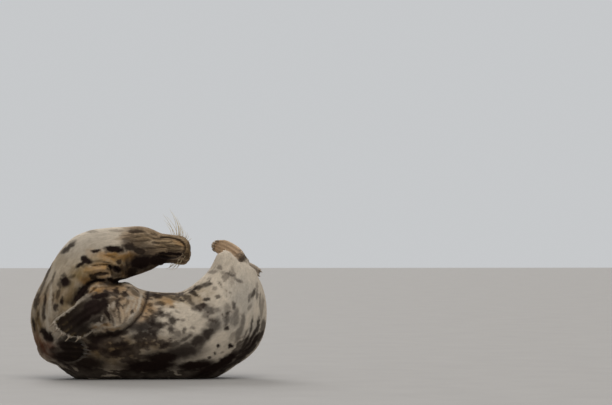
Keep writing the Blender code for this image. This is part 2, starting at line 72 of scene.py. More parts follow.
bl_info = {
    "name": "Grey Seal",
    "version": (1, 0, 0),
    "blender": (4, 5, 0),
    "location": "3D View > Sidebar > Grey Seal",
    "description": "Life-size grey seal cow curled at rest: skin, coat, eyes, claws, whiskers and stage",
    "category": "Add Mesh",
}

# ---- The body's measures, in metres: X to the seal's nose end, Z up, the belly towards -Y

# Cross-sections from nose to hocks: centre x, y, z, the direction of the outside of the bend in degrees
# anticlockwise from straight up, the half width that way and the half depth along Y
SECTIONS = (
    (0.192, 0.018, 0.598, 2, 0.048, 0.032),  # muzzle end
    (0.170, 0.018, 0.598, 2, 0.063, 0.042),
    (0.118, 0.018, 0.606, 0, 0.068, 0.046),
    (0.061, 0.012, 0.607, 0, 0.074, 0.062),  # eyes
    (0.014, 0.006, 0.606, 1, 0.098, 0.086),
    (-0.033, 0.003, 0.602, 2, 0.112, 0.098),
    (-0.089, 0.000, 0.593, 7, 0.119, 0.107),  # nape
    (-0.145, 0.000, 0.584, 20, 0.130, 0.118),
    (-0.197, 0.000, 0.574, 35, 0.144, 0.132),
    (-0.246, 0.000, 0.549, 50, 0.154, 0.150),  # throat
    (-0.289, 0.000, 0.497, 70, 0.160, 0.166),
    (-0.317, 0.000, 0.445, 87, 0.175, 0.180),  # breast
    (-0.336, 0.000, 0.395, 100, 0.202, 0.190),
    (-0.336, 0.000, 0.342, 111, 0.224, 0.196),
    (-0.309, 0.000, 0.285, 124, 0.245, 0.200),
    (-0.251, 0.000, 0.244, 135, 0.252, 0.203),  # shoulders
    (-0.174, 0.000, 0.211, 147, 0.249, 0.205),
    (-0.090, 0.000, 0.204, 156, 0.227, 0.206),
    (0.000, 0.000, 0.202, 166, 0.209, 0.206),  # belly
    (0.087, 0.000, 0.201, 177, 0.202, 0.206),
    (0.174, 0.002, 0.202, 188, 0.204, 0.204),  # loin
    (0.249, 0.004, 0.215, 197, 0.215, 0.200),
    (0.322, 0.007, 0.254, 206, 0.217, 0.190),
    (0.379, 0.010, 0.298, 215, 0.214, 0.176),  # hips
    (0.414, 0.013, 0.352, 223, 0.198, 0.158),
    (0.430, 0.016, 0.412, 231, 0.171, 0.138),
    (0.432, 0.019, 0.477, 240, 0.136, 0.116),
    (0.422, 0.022, 0.528, 248, 0.100, 0.092),  # hocks
)
SECTION_POWER = 2.25
NOSE_DOME, REAR_DOME = 0.012, 0.020
DOME_SHARE = 0.03  # the share of the body's rings that close each end

# The head's own axes, rolled a little about its length
HEAD_ROLL = radians(14)
HEAD_CENTRE = np.array((0.0, 0.010, 0.605))
FORWARD = np.array((1.0, 0.0, 0.0))
LEFT = np.array((0.0, -sin(HEAD_ROLL), -cos(HEAD_ROLL)))
CHIN = np.array((0.0, -cos(HEAD_ROLL), sin(HEAD_ROLL)))
HEAD_AXES = np.array((FORWARD, LEFT, CHIN))

# Swellings: centre, push and reach. Those of the head are on its own axes, and come in a pair where
# the centre lies off the middle.
HEAD_SWELLINGS = (
    ((0.158, 0.056, -0.012), (0.002, 0.003, -0.004), (0.034, 0.034, 0.034)),  # whisker pads
    ((0.190, 0.0, -0.030), (0.004, 0.0, -0.006), (0.030, 0.034, 0.026)),  # nose
    ((0.204, 0.0, -0.010), (-0.004, 0.0, 0.0), (0.020, 0.009, 0.020)),
    ((0.090, 0.0, 0.052), (0.0, 0.0, 0.013), (0.086, 0.036, 0.050)),  # lower jaw
    ((0.050, 0.044, -0.052), (0.0, 0.002, -0.004), (0.038, 0.024, 0.028)),  # brows
    ((0.030, 0.066, -0.004), (0.0, 0.004, 0.0), (0.044, 0.030, 0.036)),  # cheeks
    ((0.082, 0.062, -0.034), (0.0, -0.005, 0.004), (0.018, 0.020, 0.016)),  # hollows before the eyes
)
TRUNK_SWELLINGS = (
    ((-0.132, -0.190, 0.336), (0.006, -0.040, -0.006), (0.132, 0.200, 0.108)),  # left elbow
    ((-0.235, -0.180, 0.320), (0.0, -0.018, 0.0), (0.090, 0.150, 0.080)),
    ((-0.110, -0.060, 0.400), (0.0, 0.0, 0.036), (0.056, 0.150, 0.052)),
    ((-0.470, -0.020, 0.115), (-0.012, -0.006, -0.010), (0.050, 0.150, 0.050)),  # right elbow
    ((-0.190, -0.150, 0.505), (0.004, -0.026, -0.018), (0.110, 0.160, 0.046)),  # throat fold
    ((0.371, -0.012, 0.560), (-0.002, -0.012, 0.030), (0.056, 0.100, 0.080)),  # left hock
    ((0.390, 0.100, 0.530), (-0.004, 0.022, 0.010), (0.050, 0.060, 0.060)),
    ((0.462, 0.020, 0.520), (0.010, 0.0, 0.006), (0.056, 0.080, 0.050)),  # right hock
    ((0.336, -0.010, 0.604), (0.009, 0.0, -0.007), (0.018, 0.090, 0.020)),
    ((0.372, -0.030, 0.588), (0.002, 0.0, 0.006), (0.034, 0.070, 0.030)),
    ((0.434, -0.030, 0.556), (0.0, 0.0, -0.009), (0.010, 0.060, 0.030)),  # between the hocks
    ((-0.170, 0.190, 0.300), (0.0, 0.010, 0.0), (0.110, 0.120, 0.090)),  # left shoulder blade
    ((0.330, 0.185, 0.330), (0.0, 0.008, 0.0), (0.090, 0.100, 0.120)),  # pelvis
)
# Deep folds on the belly side: the points x, z they run through, depth and half width
DEEP_FOLDS = (
    (((-0.10, 0.460), (-0.165, 0.442), (-0.230, 0.465), (-0.277, 0.442), (-0.324, 0.385),
      (-0.348, 0.352)), 0.034, 0.026),
    (((0.004, 0.404), (-0.004, 0.362), (-0.028, 0.306), (-0.075, 0.254), (-0.141, 0.212),
      (-0.221, 0.202)), 0.020, 0.018),
)
SPREAD_FROM, SPREAD = 0.06, 1.25  # what is lower than this is pressed out on the floor by this factor
SWELL_POWER = 3  # how flat the middle of a swelling is
BELLY_SIDE = -0.02  # folds are pressed only into what lies before this Y
FAR = 9.0  # farther than any two points of the seal are apart

# Finer folds and ridges of the skin on the belly side, in the same way; a ridge has a negative depth
FINE_FOLDS = (
    (((-0.293, 0.537), (-0.251, 0.558), (-0.209, 0.561), (-0.168, 0.546), (-0.135, 0.523)), -0.009, 0.009),
    (((-0.256, 0.528), (-0.214, 0.535), (-0.181, 0.530)), 0.008, 0.006),
    (((-0.275, 0.505), (-0.228, 0.516), (-0.186, 0.516)), -0.007, 0.007),
    (((-0.265, 0.481), (-0.223, 0.498), (-0.181, 0.495)), 0.01, 0.0055),
    (((-0.233, 0.474), (-0.186, 0.479)), -0.006, 0.005),
    (((-0.279, 0.444), (-0.237, 0.464), (-0.181, 0.463)), 0.011, 0.0055),
    (((-0.287, 0.404), (-0.259, 0.434), (-0.222, 0.453), (-0.185, 0.450), (-0.171, 0.434)), -0.011, 0.008),
    (((-0.273, 0.399), (-0.245, 0.420), (-0.213, 0.432)), 0.007, 0.005),
    (((-0.254, 0.404), (-0.203, 0.425), (-0.143, 0.425)), -0.005, 0.007),
    (((-0.172, 0.523), (-0.170, 0.491)), 0.014, 0.007),
    (((-0.149, 0.521), (-0.130, 0.502)), 0.012, 0.007),
    (((-0.126, 0.546), (-0.109, 0.509), (-0.116, 0.477)), -0.007, 0.007),
    (((-0.098, 0.546), (-0.091, 0.500)), 0.005, 0.006),
    (((-0.084, 0.602), (-0.074, 0.546), (-0.079, 0.500)), 0.003, 0.008),
    (((-0.018, 0.409), (-0.025, 0.367), (-0.049, 0.321), (-0.092, 0.277), (-0.148, 0.247),
      (-0.203, 0.238)), -0.0035, 0.008),
    (((-0.335, 0.505), (-0.363, 0.430), (-0.386, 0.346)), 0.004, 0.012),
    (((-0.185, 0.353), (-0.162, 0.298), (-0.143, 0.261)), 0.004, 0.006),
    (((-0.139, 0.372), (-0.120, 0.316), (-0.116, 0.279)), 0.003, 0.006),
    (((0.324, 0.561), (0.310, 0.520), (0.277, 0.478)), 0.004, 0.01),
    (((0.397, 0.543), (0.365, 0.520), (0.354, 0.483)), 0.005, 0.009),
    (((0.439, 0.508), (0.411, 0.483), (0.397, 0.446)), 0.004, 0.01),
)

EYE_RADIUS = 0.0185
EYE_PLACE = (0.062, 0.050, -0.029)  # on the head's axes, as is the way it looks
EYE_WAY = np.array((0.26, 0.76, -0.60))
LID_OPENING = (0.0135, 0.0098)  # half length and half height of the opening between the lids
LID_MARGIN = 0.0014  # radius of the bare margin
LID_SLANT = 0.10
SIDES = (1, -1)  # the seal's left and right

# Blades: each row is a chord from the first digit's edge to the fifth's, then the bow of its middle, the
# half thickness and, for a fore flipper, how far it stands off the body
LEFT_FORE = (
    (-0.212, 0.405, -0.148, 0.266, 0.000, 0.022, -0.060),
    (-0.252, 0.400, -0.200, 0.248, 0.000, 0.019, -0.034),
    (-0.293, 0.380, -0.228, 0.237, 0.004, 0.015, -0.010),
    (-0.332, 0.353, -0.246, 0.228, 0.012, 0.012, 0.006),
    (-0.374, 0.324, -0.262, 0.215, 0.022, 0.009, 0.014),
    (-0.416, 0.295, -0.276, 0.204, 0.032, 0.007, 0.021),
    (-0.439, 0.277, -0.286, 0.196, 0.036, 0.004, 0.026),
)
RIGHT_FORE = (
    (-0.480, 0.155, -0.450, 0.115, 0.000, 0.020, -0.055),
    (-0.440, 0.182, -0.424, 0.102, 0.000, 0.017, -0.028),
    (-0.406, 0.192, -0.395, 0.088, 0.004, 0.013, -0.006),
    (-0.374, 0.193, -0.374, 0.082, 0.012, 0.010, 0.003),
    (-0.345, 0.190, -0.358, 0.082, 0.020, 0.008, 0.004),
    (-0.321, 0.186, -0.346, 0.084, 0.028, 0.006, 0.004),
    (-0.308, 0.180, -0.339, 0.088, 0.034, 0.003, 0.004),
)
RIGHT_HIND = (
    (0.488, 0.006, 0.500, 0.436, 0.030, 0.470, 0.000, 0.017),
    (0.482, 0.010, 0.546, 0.432, 0.036, 0.500, 0.000, 0.014),
    (0.465, 0.014, 0.575, 0.420, 0.042, 0.522, 0.000, 0.012),
    (0.442, 0.022, 0.606, 0.396, 0.050, 0.540, 0.002, 0.010),
    (0.409, 0.032, 0.632, 0.368, 0.058, 0.556, 0.006, 0.008),
    (0.370, 0.044, 0.650, 0.340, 0.066, 0.573, 0.012, 0.006),
    (0.330, 0.058, 0.649, 0.315, 0.074, 0.597, 0.020, 0.004),
)
LEFT_HIND = (
    (0.378, 0.035, 0.540, 0.366, 0.035, 0.480, 0.000, 0.017),
    (0.390, 0.085, 0.552, 0.382, 0.092, 0.484, 0.000, 0.014),
    (0.416, 0.128, 0.558, 0.402, 0.138, 0.474, 0.000, 0.012),
    (0.450, 0.160, 0.557, 0.430, 0.172, 0.458, 0.002, 0.010),
    (0.487, 0.181, 0.545, 0.462, 0.195, 0.436, 0.004, 0.008),
    (0.520, 0.194, 0.528, 0.492, 0.208, 0.414, 0.002, 0.006),
    (0.548, 0.201, 0.508, 0.519, 0.215, 0.393, -0.010, 0.004),
)
TAIL = (
    (0.462, 0.040, 0.520, 0.392, 0.040, 0.520, 0.000, 0.018),
    (0.460, 0.076, 0.552, 0.396, 0.076, 0.552, 0.000, 0.014),
    (0.455, 0.100, 0.576, 0.400, 0.100, 0.576, 0.002, 0.010),
    (0.446, 0.114, 0.592, 0.410, 0.114, 0.592, 0.010, 0.005),
)
BLADE_NAMES = ("left_fore", "right_fore", "left_hind", "right_hind", "tail")
BLADE_CUTS = 30
RIDGE, SCALLOP = 0.30, 0.007  # rise of the digits in shares of the thickness, and their reach past the webs
HIND_SCALLOP = 0.35  # share of it on the hind flippers
SCALLOP_POWER = 6  # how suddenly the digits part near the tips
DIGIT_WAVE = 5 * pi  # five digits across a blade
BLADE_STEP = 0.02  # stretch of a blade over which its way is measured

FLESH_NODES = ("head", "neck", "chest", "belly", "loin", "hips", "tail", "left_fore_flipper",
               "right_fore_flipper", "left_hind_flipper", "right_hind_flipper")

# ---- Markings of the coat on the belly side, with painted shade among the dark ones

# Dark blotches of the coat, and painted shade: in the creases of neck and armpit, under the elbow, under the
# head and low by the floor
# Centre x, z, half length and half width in millimetres, turn in degrees, strength
DARK_SPOTS_AND_SHADE = (
    (-368, 612, 45, 11.8, 38, 0.85), (-256, 686, 28, 6.1, 0, 0.4), (-144, 691, 33, 5.6, 0, 0.35),
    (-237, 598, 21, 8.9, 6, 0.95), (-305, 537, 31, 9.4, 35, 0.95), (-279, 553, 28, 15, -18, 1),
    (-293, 563, 16, 11.8, 20, 0.95), (-154, 607, 46, 15.5, -4, 1), (-144, 602, 38, 14.1, -4, 1),
    (98, 619, 42, 11.3, -8, 0.38), (305, 240, 31, 23.5, 50, 0.72), (273, 212, 35, 28.2, 42, 0.92),
    (231, 182, 45, 28.2, 32, 0.92), (171, 152, 47, 25.4, 18, 0.88), (109, 235, 16, 23.5, 20, 0.72),
    (139, 217, 24, 13.2, -20, 0.6), (185, 212, 33, 10.3, 12, 0.45), (134, 198, 28, 10.3, -6, 0.5),
    (-277, 432, 38, 16.9, 50, 0.9), (33, 607, 38, 11.3, -14, 0.3), (-471, 150, 28, 16.4, -30, 0.28),
    (-177, 598, 24, 7.5, 10, 0.6), (-79, 616, 40, 20.2, -6, 0.9), (-102, 621, 24, 10.3, 10, 0.7),
    (-379, 456, 28, 24.4, 80, 1), (-386, 481, 12, 14.1, 0, 0.75), (-344, 481, 16, 8.5, 20, 0.6),
    (-407, 441, 9, 16.9, 0, 0.7), (-393, 367, 21, 8.5, 85, 0.95), (-421, 339, 19, 12.2, 80, 0.85),
    (-411, 399, 26, 10.3, 78, 0.7), (-471, 372, 33, 8.5, 84, 0.9), (-476, 312, 38, 9.4, 88, 0.8),
    (-511, 367, 42, 13.2, 76, 0.8), (-525, 256, 33, 7.5, 100, 0.85), (-434, 381, 28, 5.6, 85, 0.6),
    (-461, 495, 47, 6.1, 70, 0.75), (-437, 467, 38, 5.6, 72, 0.65), (-485, 432, 47, 6.6, 72, 0.65),
    (-462, 418, 28, 4.7, 80, 0.5), (-504, 298, 24, 6.6, 80, 0.6), (-458, 205, 42, 23.5, -50, 1),
    (-481, 228, 19, 16.4, -30, 0.95), (-300, 409, 45, 21.6, 50, 1), (-319, 381, 28, 18.8, 60, 0.95),
    (-273, 441, 24, 11.8, 40, 0.95), (-251, 477, 19, 11.3, -20, 0.9), (-233, 465, 19, 7.5, -10, 0.85),
    (-205, 495, 28, 5.2, 0, 0.9), (-170, 521, 17, 15, -30, 1), (-142, 514, 24, 19.7, -10, 1),
    (-130, 546, 15, 12.2, 10, 0.85), (-158, 458, 33, 14.1, -25, 1), (-126, 463, 28, 11.3, 5, 0.95),
    (-163, 495, 9, 18.8, 0, 0.75), (-135, 486, 19, 7.5, 80, 0.6), (-98, 519, 38, 8.5, 85, 0.85),
    (-172, 574, 28, 5.6, -15, 0.5), (-214, 532, 38, 4.2, 4, 0.75), (-219, 490, 42, 6.1, 3, 0.9),
    (-228, 458, 42, 6.1, 9, 0.97), (-116, 514, 14, 23.5, 0, 0.75), (-144, 495, 24, 23.5, 0, 0.6),
    (-191, 546, 28, 3.3, -8, 0.45), (-254, 413, 28, 6.1, 40, 0.7), (-199, 429, 28, 3.3, 4, 0.45),
    (-240, 335, 80, 56.4, 15, 1), (-231, 284, 47, 23.5, 10, 0.9), (-189, 316, 24, 37.6, 0, 0.7),
    (-476, 141, 38, 28.2, -30, 0.45), (-254, 344, 71, 51.7, 15, 1), (-291, 298, 66, 37.6, 30, 1),
    (-199, 358, 33, 37.6, 0, 0.97), (-217, 298, 28, 42.3, 0, 0.85), (-222, 390, 56, 16.4, 8, 1),
    (-185, 312, 47, 9.4, -68, 0.95), (-162, 289, 42, 6.1, -75, 0.7), (-157, 316, 28, 7.1, -60, 0.6),
    (-129, 298, 38, 5.6, -80, 0.6), (-69, 319, 15, 8, 75, 0.85), (-106, 395, 21, 12.2, -15, 0.85),
    (-143, 409, 16, 8.5, -15, 0.7), (-120, 376, 19, 6.6, 20, 0.6), (-55, 404, 24, 12.2, -30, 0.6),
    (-79, 423, 19, 7.5, 0, 0.5), (-92, 362, 24, 7.1, 80, 0.5), (-102, 279, 28, 6.1, 60, 0.5),
    (-166, 372, 24, 11.8, 0, 0.7), (-139, 349, 33, 5.6, 70, 0.6), (-42, 367, 14, 7.1, 70, 0.4),
    (-199, 270, 24, 9.4, -40, 0.6), (-134, 219, 56, 14.1, 8, 0.88), (-203, 210, 42, 16.4, 0, 0.82),
    (-240, 187, 33, 28.2, 0, 0.95), (-254, 154, 28, 23.5, 0, 0.9), (-347, 164, 85, 37.6, -2, 1),
    (-374, 104, 85, 47, -14, 1), (-282, 81, 103, 42.3, -6, 0.95), (-421, 136, 38, 28.2, -30, 0.85),
    (-129, 168, 33, 11.3, 0, 0.85), (-148, 127, 28, 16.4, 0, 0.85), (-88, 145, 24, 9.4, 10, 0.6),
    (-55, 201, 28, 9.4, 0, 0.6), (-199, 141, 19, 9.4, -30, 0.6), (-32, 247, 56, 23.5, 4, 0.85),
    (14, 270, 33, 23.5, 0, 0.8), (14, 219, 56, 16.4, 4, 0.62), (60, 252, 24, 11.3, 0, 0.7),
    (-32, 164, 38, 12.2, 0, 0.6), (46, 386, 28, 10.3, -8, 0.75), (60, 353, 24, 10.3, 0, 0.75),
    (14, 349, 14, 10.3, 0, 0.7), (46, 312, 28, 10.3, -5, 0.7), (23, 316, 14, 7.5, 0, 0.6),
    (116, 339, 14, 7.5, 0, 0.6), (97, 307, 16, 9.4, 20, 0.5), (116, 275, 21, 18.3, 0, 0.85),
    (166, 279, 12, 7.5, 0, 0.55), (139, 316, 14, 6.6, -30, 0.4), (97, 386, 28, 7.5, -8, 0.6),
    (143, 372, 28, 7.1, -15, 0.6), (185, 381, 24, 12.2, -15, 0.7), (217, 399, 24, 11.3, -35, 0.85),
    (236, 425, 28, 10.3, 20, 0.85), (277, 441, 26, 10.3, 4, 0.8), (203, 358, 24, 12.2, -40, 0.7),
    (226, 330, 24, 14.1, -20, 0.65), (277, 372, 19, 8, 6, 0.85), (263, 344, 24, 14.1, -20, 0.65),
    (287, 323, 28, 15, -30, 0.6), (319, 325, 19, 10.3, 0, 0.45), (268, 298, 14, 14.1, 0, 0.4),
    (328, 386, 15, 8.5, 0, 0.65), (314, 423, 12, 9.4, 0, 0.4), (384, 404, 6, 6.1, 0, 0.55),
    (365, 386, 7, 11.8, 0, 0.3), (305, 499, 24, 8.5, 4, 0.5), (337, 520, 14, 9.4, 20, 0.5),
    (351, 496, 14, 8.5, 0, 0.4), (388, 487, 26, 6.1, -25, 0.5), (425, 460, 24, 7.1, -24, 0.6),
    (310, 252, 38, 30.6, 60, 0.75), (291, 224, 28, 18.8, 50, 0.9), (245, 182, 47, 28.2, 40, 0.85),
    (226, 154, 47, 28.2, 30, 0.8), (162, 131, 103, 39.9, 8, 0.93), (74, 104, 103, 37.6, 4, 1),
    (106, 164, 61, 14.1, 10, 0.8), (180, 196, 38, 11.3, 30, 0.8), (143, 219, 14, 9.4, 20, 0.6),
    (171, 233, 12, 14.1, 0, 0.7), (208, 242, 12, 9.4, 0, 0.5), (14, 67, 160, 37.6, 2, 1),
    (222, 67, 113, 28.2, 6, 0.97), (365, 238, 11, 12.2, 90, 0.9), (367, 284, 38, 16, 86, 0.6),
    (370, 335, 24, 14.1, 80, 0.4), (393, 279, 28, 11.3, 85, 0.4), (402, 344, 21, 10.3, -80, 0.75),
    (411, 293, 42, 18.8, 85, 0.55), (444, 275, 38, 10.3, 85, 0.55), (425, 219, 47, 16, 70, 0.6),
    (393, 201, 24, 9.4, 60, 0.4), (495, 399, 28, 8.5, 68, 0.8), (476, 381, 24, 6.6, 75, 0.6),
    (513, 395, 24, 6.6, 85, 0.6), (527, 367, 38, 4.7, 88, 0.55), (476, 335, 19, 7.5, 70, 0.35),
    (513, 432, 19, 6.1, 80, 0.4), (485, 252, 42, 6.1, 80, 0.8), (518, 252, 42, 7.1, 84, 0.85),
    (504, 224, 28, 8.5, 62, 0.9), (495, 205, 56, 8.5, 64, 0.9), (458, 178, 56, 6.1, 62, 0.7),
    (504, 182, 42, 11.3, 62, 0.95), (527, 196, 42, 14.1, 62, 0.9), (485, 141, 42, 16.4, 50, 0.9),
    (430, 90, 56, 16.4, 38, 0.9), (374, 57, 47, 14.1, 28, 0.9), (462, 141, 47, 18.8, 52, 0.85),
    (421, 108, 61, 16, 42, 0.8), (536, 330, 56, 9.4, 84, 0.45), (541, 242, 38, 14.1, 80, 0.7),
    (365, 85, 75, 23.5, 33, 1), (300, 53, 85, 23.5, 22, 1), (453, 201, 38, 3.8, 66, 0.6),
    (328, 157, 9, 7.5, 0, 0.95), (386, 154, 13, 10.8, 45, 1), (312, 122, 8, 8, 0, 0.85),
    (287, 104, 10, 7.5, 20, 0.85), (273, 136, 14, 7.5, 30, 0.3), (347, 127, 9, 5.6, 30, 0.5),
    (393, 122, 19, 7.5, 40, 0.6), (-51, 688, 42, 8, -2, 0.72), (-88, 644, 28, 18.8, -20, 0.6),
    (-33, 626, 42, 23.5, -15, 0.55), (14, 612, 33, 14.1, -10, 0.55), (-60, 665, 33, 10.3, -8, 0.45),
    (-5, 651, 24, 7.5, -15, 0.4), (60, 658, 19, 5.6, -10, 0.4), (181, 574, 19, 18.8, 30, 0.7),
    (193, 621, 9, 28.2, 0, 0.45), (116, 570, 47, 11.8, 5, 0.3), (-74, 667, 19, 4.7, 0, 0.4),
    (-60, 644, 19, 5.6, 0, 0.3), (42, 635, 24, 6.6, 0, 0.65), (47, 653, 28, 3.8, -2, 0.6),
    (33, 674, 19, 6.6, -15, 0.45), (60, 616, 28, 4.7, -3, 0.65), (23, 621, 19, 3.8, 0, 0.3),
    (-5, 677, 14, 5.6, -20, 0.35), (79, 635, 14, 9.4, 0, 0.35), (107, 640, 14, 4.7, 20, 0.5),
    (98, 616, 14, 7.5, -30, 0.5), (135, 619, 28, 9.4, -15, 0.55), (121, 598, 38, 7.5, 0, 0.7),
    (-37, 598, 42, 18.8, -20, 0.9), (-28, 546, 85, 49.4, 12, 1), (51, 556, 75, 35.3, 8, 1),
    (-70, 500, 38, 28.2, 30, 0.95), (107, 584, 66, 8, -2, 1), (116, 546, 75, 9.4, 0, 0.6),
)
PALE_SPOTS = (
    (226, 289, 42, 32.9, -30, 1), (189, 316, 33, 18.8, -25, 0.95), (245, 261, 33, 23.5, 10, 0.9),
    (171, 256, 33, 23.5, 20, 0.85), (139, 242, 24, 18.8, 0, 0.7), (194, 228, 24, 11.3, 10, 0.8),
    (76, 224, 31, 18.3, 8, 1), (65, 277, 31, 12.2, 0, 0.9), (153, 349, 33, 9.4, -12, 0.75),
    (305, 367, 38, 23.5, 0, 0.8), (347, 362, 24, 18.8, 0, 0.8), (314, 298, 19, 11.8, 0, 0.6),
    (259, 390, 19, 14.1, 0, 0.7), (328, 182, 66, 25.9, 38, 0.95), (287, 141, 56, 25.9, 32, 1),
    (9, 630, 38, 17.9, -5, 0.18), (259, 113, 28, 12.2, 25, 0.5), (365, 215, 28, 16, 65, 0.8),
    (467, 270, 47, 11.3, 78, 0.8), (504, 312, 42, 16, 84, 0.7),
)
# Pale hair over the dark: ridges and rims
PALE_STREAKS = (
    (-37, 358, 42, 8.9, 78, 0.9), (-74, 289, 33, 10.3, 52, 0.9), (-88, 335, 28, 6.6, 60, 0.6),
    (-60, 353, 24, 5.6, 70, 0.6), (-157, 349, 16, 7.1, 80, 0.6), (-148, 265, 24, 4.7, 85, 0.7),
    (-176, 339, 14, 4.2, 80, 0.5), (-120, 256, 28, 6.1, 20, 0.7), (-74, 381, 19, 9.4, 0, 0.6),
    (-208, 289, 16, 4.2, 75, 0.6), (-226, 261, 19, 6.6, 10, 0.7), (-263, 252, 12, 6.6, 0, 0.7),
    (-448, 372, 75, 8, 86, 0.8), (-462, 270, 47, 7.5, -82, 0.7), (-447, 486, 56, 6.1, 68, 0.8),
    (-527, 372, 66, 5.2, 76, 0.7), (-416, 228, 42, 6.6, -50, 0.6), (-402, 307, 38, 4.7, 28, 0.5),
)
# Tints of the ground on the belly side, in the same way, and by the name of their colour
TINTS = {
    "khaki": (
        (-330, 546, 75, 61.1, 20, 0.35), (-293, 495, 71, 51.7, 10, 1), (-360, 418, 47, 84.6, 0, 0.85),
        (-219, 546, 85, 42.3, 0, 0.75), (-405, 546, 56, 75.2, 60, 0.4), (-288, 593, 94, 37.6, 25, 0.25),
        (-356, 325, 47, 37.6, 0, 0.8), (0, 649, 56, 32.9, 0, 0.6), (98, 635, 75, 32.9, 0, 0.75),
        (-102, 565, 28, 47, 0, 0.5), (106, 376, 122, 28.2, -4, 0.6), (236, 386, 66, 47, 0, 0.45),
        (-135, 546, 66, 56.4, 0, 0.7),
    ),
    "ochre": (
        (-205, 505, 56, 37.6, 0, 0.7), (-119, 509, 28, 7.5, -84, 0.8), (-219, 519, 42, 9.4, 4, 0.8),
        (-205, 479, 24, 7.5, 2, 0.7), (-163, 542, 28, 7.5, -28, 0.6), (-228, 449, 47, 9.4, 16, 0.8),
        (158, 633, 24, 6.6, -35, 0.8), (-163, 574, 56, 23.5, -10, 0.95), (-102, 570, 19, 51.7, -85, 1),
        (-205, 528, 56, 18.8, 0, 0.75), (-275, 458, 33, 23.5, 0, 0.8), (-213, 423, 66, 16, 12, 1),
        (-139, 427, 47, 17.9, -10, 1), (-5, 335, 33, 47, 70, 0.95), (-18, 289, 38, 23.5, 30, 0.8),
        (88, 362, 42, 18.8, -10, 0.75), (-194, 258, 28, 9.4, 0, 0.8), (-245, 247, 24, 9.4, 0, 0.7),
        (-162, 238, 38, 7.5, 5, 0.6), (144, 635, 33, 10.3, -28, 0.6), (186, 602, 14, 37.6, 0, 0.5),
        (-88, 509, 24, 37.6, 0, 0.6), (-261, 588, 24, 23.5, 0, 0.3), (-256, 509, 38, 18.8, 0, 0.5),
    ),
    # Olive: the fur's own duller colour, and painted shade on the neck, the left of the breast and the lower
    # body
    "olive": (
        (-382, 523, 52, 56.4, 0, 0.26), (191, 612, 14, 56.4, 0, 0.8), (116, 621, 42, 18.8, -10, 0.5),
        (14, 658, 66, 23.5, -6, 0.35), (-425, 381, 94, 159.8, 75, 0.7), (-388, 372, 42, 94, 80, 0.75),
        (-393, 279, 66, 56.4, 0, 0.95), (-504, 289, 42, 122.2, 0, 0.9), (-171, 141, 169, 89.3, -4, 0.95),
        (5, 164, 103, 42.3, 0, 0.85), (-504, 164, 38, 47, 0, 0.8), (-347, 178, 66, 28.2, 0, 0.8),
        (-324, 358, 38, 37.6, 0, 0.9), (-135, 519, 47, 56.4, 0, 0.6), (106, 390, 132, 16.4, -4, 0.5),
        (191, 616, 19, 56.4, 0, 0.65), (37, 681, 94, 14.1, -10, 0.3),
    ),
    "rust": (
        (-462, 154, 42, 28.2, -25, 1), (-439, 117, 38, 18.8, -30, 0.9), (-513, 178, 19, 42.3, 0, 0.6),
        (-180, 413, 28, 9.4, 0, 0.5), (-467, 131, 38, 32.9, -30, 0.8),
    ),
    "tan": (
        (-102, 349, 99, 89.3, 0, 0.95), (60, 649, 141, 56.4, 0, 0.5), (-56, 649, 42, 47, 0, 0.6),
        (-522, 372, 19, 141, -80, 0.6), (51, 372, 56, 37.6, 0, 0.6), (245, 349, 66, 65.8, 0, 0.3),
        (-162, 436, 75, 23.5, 0, 0.7),
    ),
    "ash": (
        (448, 372, 66, 122.2, 0, 0.6), (360, 279, 94, 65.8, 0, 0.5), (268, 316, 56, 42.3, 0, 0.5),
        (314, 164, 103, 42.3, 35, 0.08), (-302, 621, 132, 47, 20, 0.28), (-18, 242, 75, 37.6, 0, 0.6),
        (476, 256, 56, 94, 0, 0.5),
    ),
}
# Where the belly side is mottled: the last number is the share that is dark
MOTTLED_PLACES = (
    (-162, 136, 169, 89.3, -4, 0.56), (14, 187, 94, 56.4, 0, 0.55), (116, 386, 141, 28.2, -6, 0.42),
    (222, 358, 66, 56.4, -20, 0.3), (5, 270, 66, 56.4, 0, 0.45), (-102, 349, 94, 79.9, 0, 0.4),
    (328, 289, 66, 37.6, 0, 0.22), (347, 141, 75, 37.6, 35, 0.08), (180, 307, 75, 56.4, 0, 0.12),
    (83, 270, 56, 47, 0, 0.3), (291, 418, 66, 47, 0, 0.14), (360, 487, 75, 47, 0, 0.05),
    (448, 164, 66, 42.3, 50, 0.44),
)

# Mouth: the line between the lips on the head's axes, forward and sideways
MOUTH = ((0.062, 0.045), (0.100, 0.048), (0.132, 0.044), (0.152, 0.036), (0.168, 0.024), (0.177, 0.010),
         (0.178, 0.0))
NOSTRIL = (0.197, 0.014, -0.027)
EAR = (-0.014, 0.092, -0.047)
NAVEL = (0.372, 0.275)
TEATS = ((0.334, 0.150), (0.395, 0.146))


def smooth_step(low, high, value):
    """0 at low, 1 at high, and smooth between; low may be the larger."""
    t = np.clip((value - low) / (high - low), 0, 1)
    return t * t * (3 - 2 * t)


def bell(value, width):
    """1 at zero, falling off on both sides within the width."""
    return np.exp(-((value / width) ** 2))


def rows_at(table, places):
    """The table's rows at fractional places, by cubic pieces through them."""
    table = np.asarray(table, float)
    slopes = np.gradient(table, axis=0)
    low = np.clip(places.astype(int), 0, len(table) - 2)
    t = (places - low)[:, None]
    a, b, da, db = table[low], table[low + 1], slopes[low], slopes[low + 1]
    return (
        (2 * t**3 - 3 * t**2 + 1) * a
        + (t**3 - 2 * t**2 + t) * da
        + (3 * t**2 - 2 * t**3) * b
        + (t**3 - t**2) * db
    )


def unit(vectors):
    return vectors / np.maximum(np.linalg.norm(vectors, axis=-1, keepdims=True), 1e-9)


def mirrored(place, side):
    """A place or way on the head's axes, or the one across from it when side is -1."""
    return np.array((place[0], place[1] * side, place[2]))


def head_point(place, side=1):
    """A point given on the head's axes. side is 1 for the seal's left and -1 for its right."""
    forward, sideways, chinwards = place
    return HEAD_CENTRE + FORWARD * forward + LEFT * sideways * side + CHIN * chinwards


def head_places(points):
    """The points on the head's axes: forward, to the left, towards the chin."""
    return (points - HEAD_CENTRE) @ HEAD_AXES.T


